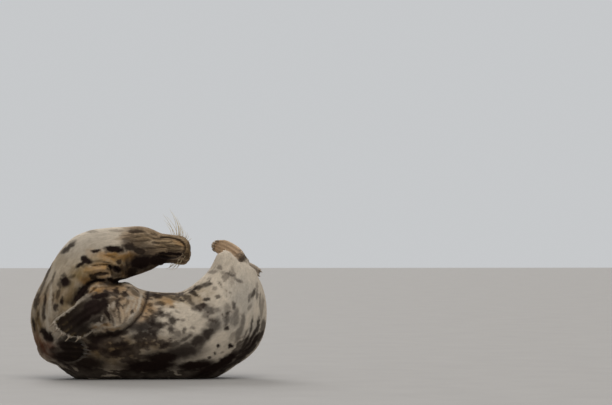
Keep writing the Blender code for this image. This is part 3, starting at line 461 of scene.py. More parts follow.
def shift_to_frame():
    """From the body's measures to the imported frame: the left eye is in both."""
    low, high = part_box("left_eye")
    return np.array((low + high) / 2) - head_point(EYE_PLACE)


SHIFT = shift_to_frame()


def signed_power(value, power):
    return np.sign(value) * np.abs(value) ** power


def body_surface(share, angle):
    """Points of the body's shell: share runs from the nose, 0, to the hocks, 1; angle goes round."""
    inner = np.clip((share - DOME_SHARE) / (1 - 2 * DOME_SHARE), 0, 1)
    rows = rows_at(SECTIONS, inner * (len(SECTIONS) - 1))
    outer = np.radians(rows[:, 3])
    across = np.stack((-np.sin(outer), np.zeros_like(outer), np.cos(outer)), axis=1)
    nose = np.clip(1 - share / DOME_SHARE, 0, 1) * pi / 2
    rear = np.clip(1 - (1 - share) / DOME_SHARE, 0, 1) * pi / 2
    shrink = np.cos(nose) * np.cos(rear)
    ends = rows_at(SECTIONS, np.array((0.0, 0.1, len(SECTIONS) - 1.1, len(SECTIONS) - 1.0)))[:, :3]
    ahead, behind = unit(ends[0] - ends[1]), unit(ends[3] - ends[2])
    centre = rows[:, :3] + np.outer(np.sin(nose) * NOSE_DOME, ahead)
    centre = centre + np.outer(np.sin(rear) * REAR_DOME, behind)
    power = 2 / SECTION_POWER
    wide = rows[:, 4] * shrink * signed_power(np.cos(angle), power)
    deep = rows[:, 5] * shrink * signed_power(np.sin(angle), power)
    return centre + across * wide[:, None] + np.outer(deep, (0, 1, 0))


def swell(points, centre, push, reach, axes):
    """Pushes the points near a centre; the push is even in the middle and fades past its reach."""
    local = (points - centre) @ axes.T / np.array(reach)
    away = np.linalg.norm(local, axis=1)
    return points + np.exp(-(away**SWELL_POWER))[:, None] * (np.array(push) @ axes)


def line_distance(place, line):
    """How far each 2-D place is from a line through the given points."""
    nearest = np.full(len(place), FAR)
    for start, end in zip(line, line[1:]):
        start, way = np.array(start), np.array(end) - np.array(start)
        along = np.clip((place - start) @ way / (way @ way), 0, 1)
        nearest = np.minimum(nearest, np.linalg.norm(place - start - along[:, None] * way, axis=1))
    return nearest


def fold(points, line, depth, width):
    """Presses a fold into the belly side, or raises a ridge."""
    nearest = line_distance(points[:, (0, 2)], line)
    push = depth * bell(nearest, width) * (points[:, 1] < BELLY_SIDE)
    return points + np.outer(push, (0, 1, 0))


def shaped(points):
    """The flesh with its swellings and deep folds, the lowest of it pressed out on the floor."""
    for centre, push, reach in HEAD_SWELLINGS:
        for side in SIDES if centre[1] else SIDES[:1]:
            points = swell(points, head_point(centre, side), mirrored(push, side), reach, HEAD_AXES)
    for centre, push, reach in TRUNK_SWELLINGS:
        points = swell(points, np.array(centre), push, reach, np.eye(3))
    for line, depth, width in DEEP_FOLDS:
        points = fold(points, line, depth, width)
    low = points[:, 2] < SPREAD_FROM
    points[low, 2] = SPREAD_FROM - (SPREAD_FROM - points[low, 2]) * SPREAD
    return points


# ---- Making and finishing objects


def nothing_selected():
    if bpy.context.object and bpy.context.object.mode != "OBJECT":
        bpy.ops.object.mode_set(mode="OBJECT")
    bpy.ops.object.select_all(action="DESELECT")


def only_selected(*objects):
    nothing_selected()
    for obj in objects:
        obj.select_set(True)
    bpy.context.view_layer.objects.active = objects[0]


def points_of(obj):
    points = np.empty(len(obj.data.vertices) * 3, np.float32)
    obj.data.vertices.foreach_get("co", points)
    return points.reshape(-1, 3).astype(float)


def normals_of(obj):
    normals = np.empty(len(obj.data.vertices) * 3, np.float32)
    obj.data.vertex_normals.foreach_get("vector", normals)
    return normals.reshape(-1, 3).astype(float)


def set_points(obj, points):
    obj.data.vertices.foreach_set("co", points.astype(np.float32).ravel())
    obj.data.update()


def primitive(kind, name, **settings):
    """A new object from one of Blender's own shapes."""
    nothing_selected()
    getattr(bpy.ops.mesh, f"primitive_{kind}_add")(**settings)
    obj = bpy.context.object
    obj.name = obj.data.name = name
    return obj


def linked(name, mesh):
    obj = bpy.data.objects.new(name, mesh)
    bpy.context.scene.collection.objects.link(obj)
    return obj


def applied(obj, kind, **settings):
    """Adds a modifier to the object and applies it."""
    only_selected(obj)
    modifier = obj.modifiers.new(kind.lower(), kind)
    for key, value in settings.items():
        setattr(modifier, key, value)
    bpy.ops.object.modifier_apply(modifier=modifier.name)


def joined(objects, name):
    only_selected(*objects)
    if len(objects) > 1:
        bpy.ops.object.join()
    made = bpy.context.view_layer.objects.active
    made.name = made.data.name = name
    return made


@contextmanager
def all_edited(obj):
    """Edit mode with the whole mesh of the object selected."""
    only_selected(obj)
    bpy.ops.object.mode_set(mode="EDIT")
    bpy.ops.mesh.select_all(action="SELECT")
    yield
    bpy.ops.object.mode_set(mode="OBJECT")


def merged(obj, distance=1e-5):
    with all_edited(obj):
        bpy.ops.mesh.remove_doubles(threshold=distance)
        bpy.ops.mesh.normals_make_consistent(inside=False)


def copy_of_nodes(nodes, name):
    """One object from copies of CAD nodes, their loose triangles merged."""
    copies = []
    for node in nodes:
        copy = frame["nodes"][node].copy()
        copy.data = copy.data.copy()
        copy.parent = None
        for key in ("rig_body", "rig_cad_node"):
            if key in copy:
                del copy[key]
        copy.hide_render = copy.hide_viewport = False
        bpy.context.scene.collection.objects.link(copy)
        copies.append(copy)
    made = joined(copies, name)
    merged(made)
    return made


def set_attribute(obj, name, kind, values):
    attribute = obj.data.attributes.new(name, kind, "POINT")
    attribute.data.foreach_set("color" if "COLOR" in kind else "value", values.astype(np.float32).ravel())


def rgba(colours):
    return np.concatenate((colours, np.ones((len(colours), 1))), axis=1)


def finished(obj, material, replaced=()):
    """Gives a finished piece its material and the nodes it stands for."""
    obj.data.materials.clear()
    obj.data.materials.append(material)
    only_selected(obj)
    bpy.ops.object.shade_smooth()
    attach(obj, "root")
    if replaced:
        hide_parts(*replaced)


# ---- Blades of the flippers and tail


def chord_rows(table):
    """Blade rows as first edge, middle, fifth edge and half thickness."""
    table = np.array(table, float)
    middles = (table[:, :3] + table[:, 3:6]) / 2
    ways = unit(np.gradient(middles, axis=0))
    middles = middles + ways * table[:, 6:7]
    return np.concatenate((table[:, :3], middles, table[:, 3:6], table[:, 7:8]), axis=1)


def draped_rows(table, tree):
    """Blade rows that lie on the flesh, whose skin is under them along Y."""
    rows = chord_rows([(ax, 0, az, bx, 0, bz, bow, thick) for ax, az, bx, bz, bow, thick, _ in table])
    for row, source in zip(rows, table):
        for i in (0, 3, 6):
            hit = tree.ray_cast(Vector((row[i], -1, row[i + 2])), Vector((0, 1, 0)))[0]
            row[i + 1] = hit.y - source[6] - source[5]
    return rows


def blade_middle(rows, along, across):
    """Points of a blade's middle surface: along 0 at the root to 1 at the tips, across -1 to 1."""
    found = rows_at(rows, np.clip(along, 0, 1) * (len(rows) - 1))
    first, middle, fifth = found[:, :3], found[:, 3:6], found[:, 6:9]
    bow = middle - (first + fifth) / 2
    across = across[:, None]
    point = (first + fifth) / 2 + (fifth - first) / 2 * across + bow * (1 - across**2)
    return point, found[:, 9], fifth - first


def blade_frame(rows, along, across):
    """Points of the middle surface with the way to the tips and the way out on the viewer's side."""
    point, thick, chord = blade_middle(rows, along, across)
    ahead = blade_middle(rows, along + BLADE_STEP, across)[0]
    before = blade_middle(rows, along - BLADE_STEP, across)[0]
    way = unit(ahead - before)
    normal = unit(np.cross(way, chord))
    normal *= np.where(normal[:, 1:2] > 0, -1, 1)
    return point, thick, way, normal


def blade_piece(name, rows):
    """A flipper or the tail, shaped from a divided cube."""
    obj = primitive("cube", name, size=2)
    with all_edited(obj):
        bpy.ops.mesh.subdivide(number_cuts=BLADE_CUTS)
    cube = points_of(obj)
    along, across, face = (cube[:, 0] + 1) / 2, cube[:, 1], cube[:, 2]
    across = np.sin(across * pi / 2)
    point, thick, way, normal = blade_frame(rows, along, across)
    wave = np.cos(DIGIT_WAVE * across) if name != "tail" else np.zeros(len(across))
    notch = SCALLOP * (HIND_SCALLOP if "hind" in name else 1)
    rounding = np.sqrt(np.maximum(1 - across**2, 0))
    rise = thick * face * rounding * (1 + RIDGE * wave * np.minimum(1, 2 * along))
    reach = notch * wave * along**SCALLOP_POWER
    set_points(obj, point + normal * rise[:, None] + way * reach[:, None])
    with all_edited(obj):
        bpy.ops.mesh.normals_make_consistent(inside=False)
    return obj


# ---- Where a point of the skin lies on the animal
SPINE_STEPS = 260
BATCH = 20000  # points compared with the spine at a time
LEAST_STRETCH = 0.4  # on the inside of the bend lengths are never drawn out by more than one over this
BLADE_GRID = (26, 21)  # places along and across a blade with which the skin is compared
BLADE_FROM = 0.22  # nearer the root than this, the skin counts as the body's
BLADE_REACH, BLADE_MARGIN = 0.010, 0.030  # how far off a blade its skin and its box may lie
NOISE_FADE, NOISE_STEP = 0.8, 2.1  # how fast the finer layers of noise fade, and how much finer each is
ROLLED_LENGTH, ROLLED_RADIUS = 0.62, 0.20  # the straightened body on which the noise of the markings lies


def spine():
    """Rows of the sections along the body, metres from the nose, the way on, and the bend in 1/m."""
    rows = rows_at(SECTIONS, np.linspace(0, len(SECTIONS) - 1, SPINE_STEPS))
    length = np.concatenate(((0,), np.cumsum(np.linalg.norm(np.diff(rows[:, :3], axis=0), axis=1))))
    bend = np.gradient(np.radians(rows[:, 3]), length)
    return rows, length, unit(np.gradient(rows[:, :3], axis=0)), np.maximum(bend, 0)


SPINE_ROWS, SPINE_LENGTH, SPINE_WAY, SPINE_BEND = spine()
BODY_LENGTH = SPINE_LENGTH[-1]


def body_place(points):
    """For each point: metres from the nose along the spine, the angle round it from the seal's right
    side over her back, and the way towards the tail."""
    nearest = np.empty(len(points), int)
    for start in range(0, len(points), BATCH):
        part = points[start : start + BATCH, None, :] - SPINE_ROWS[None, :, :3]
        reach = np.linalg.norm(part, axis=2) / (SPINE_ROWS[:, 4] + SPINE_ROWS[:, 5])
        nearest[start : start + BATCH] = reach.argmin(axis=1)
    way = SPINE_WAY[nearest]

    def across(rows):
        local = points - rows[:, :3]
        outer = np.radians(rows[:, 3])
        return local, -np.sin(outer) * local[:, 0] + np.cos(outer) * local[:, 2]

    local, sideways = across(SPINE_ROWS[nearest])
    stretch = np.maximum(LEAST_STRETCH, 1 + SPINE_BEND[nearest] * sideways)
    length = SPINE_LENGTH[nearest] + np.sum(local * way, axis=1) / stretch
    rows = np.stack([np.interp(length, SPINE_LENGTH, column) for column in SPINE_ROWS.T], axis=1)
    local, sideways = across(rows)
    return length, np.arctan2(local[:, 1] / rows[:, 5], sideways / rows[:, 4]), way


def blade_place(points, blades):
    """For each point: the blade it lies on, or -1, its place along and across, and the way to the tips."""
    owner = np.full(len(points), -1)
    along, across = np.zeros(len(points)), np.zeros(len(points))
    way = np.zeros((len(points), 3))
    rows_along, rows_across = np.linspace(0, 1, BLADE_GRID[0]), np.linspace(-1, 1, BLADE_GRID[1])
    grid = np.array([(a, c) for a in rows_along for c in rows_across])
    for index, rows in enumerate(blades):
        middle, thick, ways, _ = blade_frame(rows, grid[:, 0], grid[:, 1])
        low, high = middle.min(0) - BLADE_MARGIN, middle.max(0) + BLADE_MARGIN
        found = np.flatnonzero(np.all((points > low) & (points < high), axis=1))
        tree = KDTree(len(middle))
        for number, point in enumerate(middle):
            tree.insert(point, number)
        tree.balance()
        for place in found:
            _, number, away = tree.find(points[place])
            if grid[number, 0] > BLADE_FROM and away < thick[number] + BLADE_REACH:
                owner[place] = index
                along[place], across[place] = grid[number]
                way[place] = ways[number]
    return owner, along, across, way


def noise_at(points, scale, octaves, seed, stretch=None):
    """Smooth noise at the points; stretch lengthens its grains along each axis."""
    scaled = points * (scale / np.array(stretch) if stretch else scale) + seed
    return np.array([noise.fractal(point, NOISE_FADE, NOISE_STEP, octaves) for point in scaled.tolist()])


def rolled_out(length, angle):
    """The body as if straightened: metres along it and round it."""
    round_it = np.stack((np.cos(angle), np.sin(angle)), axis=1) * ROLLED_RADIUS
    return np.column_stack((length * ROLLED_LENGTH, round_it))


WOBBLE = 0.007  # how far the edges of the markings wander
STEADY_WIDTH = 0.012  # markings narrower than this wander less
SOFT_WIDTH = 0.045  # markings as wide as this are softer at the edge
LEAST_SOFT, MOST_SOFT = 0.8, 0.8  # softness of the narrowest markings in shares of the asked one, and of any
NOISE_SPAN = 0.95  # between the levels under which nothing and all of the noise lies
# Noise of the coat: its scale, layers and seed, and how much longer its grains are along the body
COARSE, FINE = (13, 4, 3.1), (34, 3, 11.7)
STREAKY, HAIRY = (56, 3, 8.8, (2.4, 1, 1)), (150, 2, 5.3, (3.0, 1, 1))
WANDER = ((48, 3, 21.0), (48, 3, 47.0))
FRONT_EDGE = (0.06, -0.01)  # over these Y the back's colours give way to the belly side's
HEAD_EDGE, TRUNK_EDGE = (0.330, 0.190), (0.80, 0.92)  # metres from the nose where head ends and trunk begins
LOW_DARK_AND_SHADE_EDGE = (0.090, 0.030)  # heights between which the fur by the floor grows dark: the underside's darker fur, with painted shade under the body
FOLD_SHADES = ((0.90, 0.010), (0.95, 0.009))  # strength and width of the shade in the first deep folds
LIMB_EDGE = (0.20, 0.56)  # along a blade, where the trunk's colours give way to its own
RIM_SHARES = (0.85, 0.15, 0.50, 0.50, 0.50, 0.0)  # how pale the rim of each blade is; the last is the body
COLOUR_LIMITS = (0.003, 0.9)


def spots(places, points, wobble, softness):
    """How strongly each point lies in one of the named places of the belly side."""
    flat = points[:, (0, 2)]
    out = np.zeros(len(points))
    for *measures, turn, strength in places:
        cx, cz, half_length, half_width = (number / 1000 for number in measures)
        soft = min(MOST_SOFT, softness * (LEAST_SOFT + half_width / SOFT_WIDTH))
        reach = (1 + soft) * max(half_length, half_width) + WOBBLE
        near = np.flatnonzero(np.max(np.abs(flat - (cx, cz)), axis=1) < reach)
        x, z = (flat[near] - (cx, cz) + wobble[near] * WOBBLE * min(1, half_width / STEADY_WIDTH)).T
        c, s = cos(radians(turn)), sin(radians(turn))
        u = (x * c + z * s) / half_length
        v = (-x * s + z * c) / half_width
        here = strength * smooth_step(1 + soft, 1 - soft, np.hypot(u, v))
        out[near] = np.maximum(out[near], here)
    return out


def below_level(value, share, softness):
    """1 where the noise lies below the level that leaves this share of it."""
    level = (share - 0.5) * NOISE_SPAN
    return smooth_step(level + softness, level - softness, value)


def coat_places(points, length, angle):
    """What the markings go by at each point: belly side, head and trunk, and the noise."""
    rolled = rolled_out(length, angle)
    coarse, fine, streaky, hairy = (noise_at(rolled, *kind) for kind in (COARSE, FINE, STREAKY, HAIRY))
    return SimpleNamespace(
        points=points, coarse=coarse, fine=fine, streaky=streaky, hairy=hairy,
        wobble=np.stack([noise_at(points, *kind) for kind in WANDER], axis=1),
        front=smooth_step(*FRONT_EDGE, points[:, 1]),
        head=smooth_step(*HEAD_EDGE, length + 0.07 * coarse + 0.04 * fine),
        trunk=smooth_step(*TRUNK_EDGE, length),
    )


def blend(ground, colour, weight):
    """Lays a colour over the ground."""
    weight = np.clip(weight, 0, 1)[:, None]
    ground[:] = ground * (1 - weight) + np.array(colour) * weight


def tinted(ground, at, colours):
    """Ash on the back, tan on the head, and the tints of the belly side, of which olive is partly painted
    shade.
    """
    blend(ground, colours.ash, 0.65 * (1 - at.front))
    blend(ground, colours.tan, 0.85 * at.head)
    blend(ground, colours.brown, 0.60 * at.head * smooth_step(-0.15, 0.35, at.fine + 0.4 * at.streaky))
    for name, places in TINTS.items():
        share = spots(places, at.points, at.wobble * 1.5, 0.55)
        blend(ground, getattr(colours, name), share * at.front * (0.95 + 0.35 * at.fine))


def mottled(ground, at, colours):
    """Soft and dark mottling from the noise, where the places of the belly side and the back ask for it, and
    dense low by the floor: the underside's own darker fur with painted shade under the body.
    """
    share = spots(MOTTLED_PLACES, at.points, at.wobble, 0.50)
    # Low by the floor the dark grows dense: darker fur of the underside, and painted shade under the body
    share = np.maximum(share, 0.97 * smooth_step(*LOW_DARK_AND_SHADE_EDGE, at.points[:, 2] + 0.02 * at.fine))
    share = share * at.front + (0.42 + 0.12 * at.trunk) * (1 - at.front)
    present = np.minimum(1, share * 12)
    faint = below_level(at.coarse * 0.6 + at.fine * 0.55, share + 0.08, 0.26)
    blend(ground, colours.brown, 0.50 * faint * present)
    pale = spots(PALE_SPOTS, at.points, at.wobble * 1.4, 0.35) * at.front
    blend(ground, colours.cream, 0.85 * pale)
    patch = below_level(at.coarse * 0.50 + at.fine * 0.65, share, 0.12) * present * (1 - pale)
    patch = np.clip(patch * (0.82 + 0.25 * at.fine), 0, 1)
    blend(ground, colours.dark, patch * 0.94 * (1 - at.head * (0.50 + 0.35 * at.front)))


def marked(ground, at, colours):
    """The head's streaks, the named dark marks, which hold painted shade as well as blotches, the pale marks,
    and the painted shade in the deep folds.
    """
    streaks = below_level(at.streaky, 0.36, 0.14) * at.head
    blend(ground, colours.dark, streaks * (0.55 * at.front + 0.12 * (1 - at.front)))
    blend(ground, colours.dark, spots(DARK_SPOTS_AND_SHADE, at.points, at.wobble, 0.34) * at.front * 1.03)
    pale = np.array(colours.cream) * 0.8
    blend(ground, pale, spots(PALE_STREAKS, at.points, at.wobble, 0.45) * at.front)
    for (line, *_), (strength, width) in zip(DEEP_FOLDS, FOLD_SHADES):
        away = line_distance(at.points[:, (0, 2)], line)
        blend(ground, colours.dark, at.front * strength * bell(away, width))


def limb_coloured(ground, at, blades_at, colours):
    """Flippers and tail: dark fore flippers with paler digits, tan soles on the hind ones, a pale rim."""
    owner, along, across, _ = blades_at
    left_fore, right_fore, left_hind, right_hind, tail = (owner == i for i in range(len(BLADE_NAMES)))
    fore, hind = left_fore | right_fore, left_hind | right_hind
    limb = (owner >= 0) * smooth_step(*LIMB_EDGE, along + (0.25 * at.coarse + 0.15 * at.fine) * (owner > 1))
    rays = 0.5 + 0.5 * np.cos(DIGIT_WAVE * across)
    digits = rays**3 * smooth_step(0.55, 0.9, along) * smooth_step(-0.1, 0.2, at.streaky)
    webs = smooth_step(0.70, 0.20, rays) * smooth_step(-0.15, 0.15, at.fine)
    hock = smooth_step(0.50, 0.34, along) * smooth_step(0.2, 0.3, along)
    edge, tips = np.abs(across), along + 0.06 * left_fore
    rim = np.maximum(smooth_step(0.86, 0.94, edge), smooth_step(0.94, 0.99, tips))
    for colour, weight in (
        (colours.flipper, limb * fore * 0.97),
        (colours.khaki, limb * fore * 0.28 * digits),
        (colours.sole, limb * hind * (0.92 + 0.2 * at.fine)),
        (colours.ochre, limb * right_hind * 0.25 * smooth_step(0.55, 0.95, along)),
        (colours.ash, limb * left_hind * 0.60),
        (colours.brown, limb * tail * 0.7),
        (colours.brown, limb * hind * 0.25 * webs),
        (colours.dark, right_hind * 0.85 * hock),
        (colours.cream, limb * rim * np.array(RIM_SHARES)[owner]),
    ):
        blend(ground, colour, weight)


def coat_colours(points, length, angle, blades_at, colours):
    """The colour of skin and coat at each point, from where it lies on the animal."""
    at = coat_places(points, length, angle)
    ground = np.tile(np.array(colours.cream), (len(points), 1))
    for lay in (tinted, mottled, marked):
        lay(ground, at, colours)
    limb_coloured(ground, at, blades_at, colours)
    ground *= 1 + 0.16 * at.hairy[:, None]
    return np.clip(ground, *COLOUR_LIMITS)


# ---- Skin
SHELL_SIDES, SHELL_RINGS, SHELL_CELL = 96, 260, 0.0045  # mesh of head, neck and trunk before it is refined
LID_HEIGHT, LID_SINK = 0.0022, 0.0035  # the lids' rim over the ball, and the skin inside it under the ball
LID_INNER, LID_OUTER = (1.06, 0.90), (2.15, 1.25)  # edges of the lids, in shares of their opening
LID_REACH = 0.045  # the lids shape the skin no farther from the eye than this
LID_GROOVE, GROOVE_PLACE, GROOVE_WIDTH = 0.0016, 1.75, 0.22  # round the lids, in shares of their opening
# The groove between the lips, and the rise beside it
MOUTH_DEPTH, MOUTH_WIDTH = 0.0075, 0.0042
LIP_RISE, LIP_PLACE, LIP_WIDTH = 0.0022, 0.008, 0.005
CHIN_BACK = 0.0045  # how far the chin is drawn back behind the lips
NOSTRIL_DEPTH, NOSTRIL_RIM, NOSTRIL_REACH = 0.0085, 0.0016, 0.022
NOSTRIL_SIZE = (0.0040, 0.0090)  # of the slit, whose turn has this cosine and sine:
SLIT_COSINE, SLIT_SINE = 0.80, 0.60
EAR_DEPTH, EAR_WIDTH = 0.0060, 0.0042
EAR_RIM, EAR_RIM_PLACE, EAR_RIM_WIDTH = 0.0012, 0.008, 0.003
PAD_CENTRE, PAD_SIZE = (0.160, 0.050, -0.004), (0.030, 0.024, 0.030)  # whisker pads
PAD_RISE, PAD_ROWS = 0.002, 0.0016
PAD_ROW, PAD_COLUMN = 0.0105, 0.0095  # from one whisker root to the next
SNOUT_CREASE, SNOUT_STEP = 0.0007, 0.014  # depth of the soft creases, and from one to the next
BACK_CREASE, BACK_STEP = 0.0006, 0.034
UNEVEN = 0.0020  # soft unevenness of the whole skin
NAVEL_DEPTH, NAVEL_RIM, NAVEL_STRETCH = 0.006, 0.002, 2.6
TEAT_RISE, TEAT_RING = 0.0030, 0.0015
SHEATH_RISE, SHEATH_WIDTH, SHEATH_WEIGHTS = 0.0042, 0.0075, (0.85, 0.15)  # swellings over the claws' roots
GRAIN, GRAIN_SEED = 0.00022, 3  # roughness that keeps triangles short when the skin is thinned out
FLOOR_GAP = 0.0008  # the skin stays this much over the floor
HEAD_END, TRUNK_WEIGHT, HEAD_WEIGHT = 0.40, 1.0, 0.90  # the head keeps finer triangles
SMOOTHING, DRAFT_SMOOTHING, DRAFT_CELL = 7, 3, 1.8
# Bare skin: its reach over the mouth, its edges in shares of the lids' opening, and its sizes at the nose
BARE_LIPS, BARE_LIDS = 0.0052, (1.55, 1.15)
NOSE_PAD, NOSE_BARE, BARE_NOSTRIL = (0.030, 0.024, 0.016), 0.80, (0.03, 0.008, 0.010)
BARE_WEIGHT, BARE_SHADE = 0.9, 0.7  # how far bare skin takes the dark colour, and how dark that is there
SKIN_FACE, SKIN_LIMB = (0.36, 0.12), (0.25, 0.6)  # metres from the nose, and shares of a blade
THIN_FACE, THIN_LIMB = 0.55, 0.65  # how much thinner the coat is there


def flesh_shell():
    """Head, neck and trunk: a sphere drawn out along the body and shaped."""
    obj = primitive("uv_sphere", "flesh", segments=SHELL_SIDES, ring_count=SHELL_RINGS, radius=1)
    sphere = points_of(obj)
    share = np.arccos(np.clip(sphere[:, 2], -1, 1)) / pi
    angle = np.arctan2(sphere[:, 1], sphere[:, 0])
    set_points(obj, body_surface(share, angle))
    merged(obj, 1e-6)
    applied(obj, "REMESH", mode="VOXEL", voxel_size=SHELL_CELL)
    set_points(obj, shaped(points_of(obj)))
    return obj


def eye_axes(side):
    """The eye's centre, its way out and the two ways across it, on X, Y, Z."""
    way = unit(mirrored(EYE_WAY, side) @ HEAD_AXES)
    ahead = unit(FORWARD - way * (FORWARD @ way))
    return head_point(EYE_PLACE, side), way, ahead, np.cross(way, ahead)


def opening_share(a, b):
    """How far off the eye's middle a place is, in shares of the opening between the lids."""
    return np.hypot(a / LID_OPENING[0], (b + LID_SLANT * a) / LID_OPENING[1])


def lidded(points):
    """Lids round each eye: a rim that lies on the ball, and the skin inside it sunk behind the ball."""
    for side in SIDES:
        centre, way, ahead, up = eye_axes(side)
        local = points - centre
        height, a, b = local @ way, local @ ahead, local @ up
        near = (np.hypot(a, b) < LID_REACH) & (height > 0) & (height < LID_REACH)
        r = opening_share(a, b)
        b = b + LID_SLANT * a
        ball = np.sqrt(np.maximum(EYE_RADIUS**2 - a**2 - b**2, 0))
        margin = ball + LID_HEIGHT
        sunk = ball - LID_SINK
        inside = smooth_step(*LID_INNER, r)
        lid = smooth_step(*LID_OUTER, r)
        goal = height * (1 - lid) + np.maximum(margin, height * 0.6 + margin * 0.4) * lid
        goal = goal - LID_GROOVE * bell(r - GROOVE_PLACE, GROOVE_WIDTH)
        goal = goal * (1 - inside) + sunk * inside
        points = points + np.outer(np.where(near, goal - height, 0), way)
    return points


def mouth_distance(local):
    """How far points on the head's axes are from the line between the lips, and 1 inside it."""
    place = np.stack((local[:, 0], np.abs(local[:, 1])), axis=1)
    line = np.array(MOUTH)
    edge = np.interp(local[:, 0], line[:, 0], line[:, 1], left=0.047, right=0.0)
    return line_distance(place, MOUTH), smooth_step(0.004, -0.004, np.abs(local[:, 1]) - edge)


def chin_share(local):
    """1 on the chin's side of the muzzle, where the mouth shows."""
    return smooth_step(-0.004, 0.010, local[:, 2]) * smooth_step(0.045, 0.065, local[:, 0])


def lips(local):
    """The groove between the lips, a soft lip along it, and the chin drawn back inside it."""
    away, inside = mouth_distance(local)
    on_chin = chin_share(local)
    push = -MOUTH_DEPTH * bell(away, MOUTH_WIDTH) * on_chin
    push += LIP_RISE * bell(away - LIP_PLACE, LIP_WIDTH) * on_chin * (1 - inside)
    push -= CHIN_BACK * inside * on_chin * smooth_step(0.10, 0.16, local[:, 0])
    return push


def opened(push, local, side):
    """The push with the nostril and the ear opening of one side in it."""
    df, dl, dc = (local * (1, side, 1) - NOSTRIL).T
    slit = np.hypot((dl * SLIT_COSINE - dc * SLIT_SINE) / NOSTRIL_SIZE[0],
                    (dl * SLIT_SINE + dc * SLIT_COSINE) / NOSTRIL_SIZE[1])
    near = np.abs(df) < NOSTRIL_REACH
    push = push - NOSTRIL_DEPTH * np.exp(-(slit**3)) * near
    push = push + NOSTRIL_RIM * bell(slit - 1.7, 0.5) * near
    ear = np.linalg.norm(local - mirrored(EAR, side), axis=1)
    return push + (-EAR_DEPTH * bell(ear, EAR_WIDTH) + EAR_RIM * bell(ear - EAR_RIM_PLACE, EAR_RIM_WIDTH))


def faced(points, normals):
    """Mouth, nostrils, ears, whisker pads and soft creases across the snout."""
    local = head_places(points)
    f, l, c = local.T
    push = lips(local)
    for side in SIDES:
        push = opened(push, local, side)
    from_pad = (np.stack((f, np.abs(l), c), axis=1) - PAD_CENTRE) / PAD_SIZE
    pad = np.exp(-(from_pad[:, 0] ** 2 + from_pad[:, 1] ** 2 + from_pad[:, 2] ** 2))
    rows = np.sin(f * 2 * pi / PAD_ROW + l * 60) * np.sin((c + 0.4 * np.abs(l)) * 2 * pi / PAD_COLUMN)
    push += pad * (PAD_ROWS * rows + PAD_RISE)
    crease = np.sin(f * 2 * pi / SNOUT_STEP + 2.2 * noise_at(points, 40, 2, 2.0))
    push += SNOUT_CREASE * crease * smooth_step(0.09, 0.12, f) * smooth_step(0.17, 0.14, f) * (c < 0.01)
    return points + normals * push[:, None]


def creased(points, normals, length, angle):
    """Finer folds of the belly side, soft wrinkles where the body bends, navel and teats."""
    for line, depth, width in FINE_FOLDS:
        points = fold(points, line, depth, width)
    front = points[:, 1] < 0
    flat = points[:, (0, 2)]
    wander = noise_at(points, 9, 3, 1.0)
    back = np.sin((length + 0.02 * wander) * 2 * pi / BACK_STEP) * smooth_step(0.42, 0.58, length)
    back *= smooth_step(1.0, 0.84, length) * bell(angle - 0.1, 1.0)
    push = BACK_CREASE * back
    rim = bell(line_distance(flat, DEEP_FOLDS[1][0]), 0.05) * front
    push += UNEVEN * noise_at(points, 16, 2, 4.0) * (0.35 + rim)
    x, z = (flat - NAVEL).T
    navel = np.hypot(x, z / NAVEL_STRETCH)
    push += (-NAVEL_DEPTH * bell(navel, 0.006) + NAVEL_RIM * bell(navel - 0.014, 0.006)) * front
    for place in TEATS:
        teat = np.hypot(*(flat - place).T)
        push += (TEAT_RISE * bell(teat, 0.005) - TEAT_RING * bell(teat - 0.010, 0.004)) * front
    return points + normals * push[:, None]


def claw_roots():
    """Each claw's root and the way to its tip, from the solids."""
    found = []
    for node in frame["nodes"]:
        if "_claw_" not in node:
            continue
        points = np.array([vertex.co for vertex in frame["nodes"][node].data.vertices]) - SHIFT
        low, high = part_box(node.split("_claw_")[0] + "_flipper")
        middle = np.array((low + high) / 2) - SHIFT
        main = np.linalg.svd(points - points.mean(0), full_matrices=False)[2][0]
        places = (points - points.mean(0)) @ main
        ends = points[places.argmin()], points[places.argmax()]
        root, tip = sorted(ends, key=lambda end: np.linalg.norm(end - middle))
        found.append((node, root, tip))
    return found


def sheathed(points, normals):
    """Small swellings over the roots of the claws."""
    near_root, near_tip = SHEATH_WEIGHTS
    for _, root, tip in claw_roots():
        away = np.linalg.norm(points - (root * near_root + tip * near_tip), axis=1)
        points = points + normals * (SHEATH_RISE * bell(away, SHEATH_WIDTH))[:, None]
    return points


def rough_skin(settings):
    """Flesh, flippers and tail as one closed mesh, and the rows of the blades on it."""
    flesh = flesh_shell()
    tree = BVHTree.FromObject(flesh, bpy.context.evaluated_depsgraph_get())
    tables = (draped_rows(LEFT_FORE, tree), draped_rows(RIGHT_FORE, tree), chord_rows(LEFT_HIND),
              chord_rows(RIGHT_HIND), chord_rows(TAIL))
    blades = [blade_piece(name, rows) for name, rows in zip(BLADE_NAMES, tables)]
    skin = joined([flesh, *blades], "skin")
    applied(skin, "REMESH", mode="VOXEL", voxel_size=settings.fine_cell * 1)
    applied(skin, "SMOOTH", factor=0.5, iterations=SMOOTHING)
    return skin, tables


def thinned(skin, length, most):
    """Leaves the skin at most so many triangles, finer ones in the head."""
    weight = skin.vertex_groups.new(name="keep")
    for chosen, value in ((length > HEAD_END, TRUNK_WEIGHT), (length <= HEAD_END, HEAD_WEIGHT)):
        weight.add(np.flatnonzero(chosen).tolist(), value, "REPLACE")
    triangles = 2 * len(skin.data.polygons)
    if triangles > most:
        applied(skin, "DECIMATE", ratio=most / triangles, vertex_group="keep")
    skin.vertex_groups.clear()


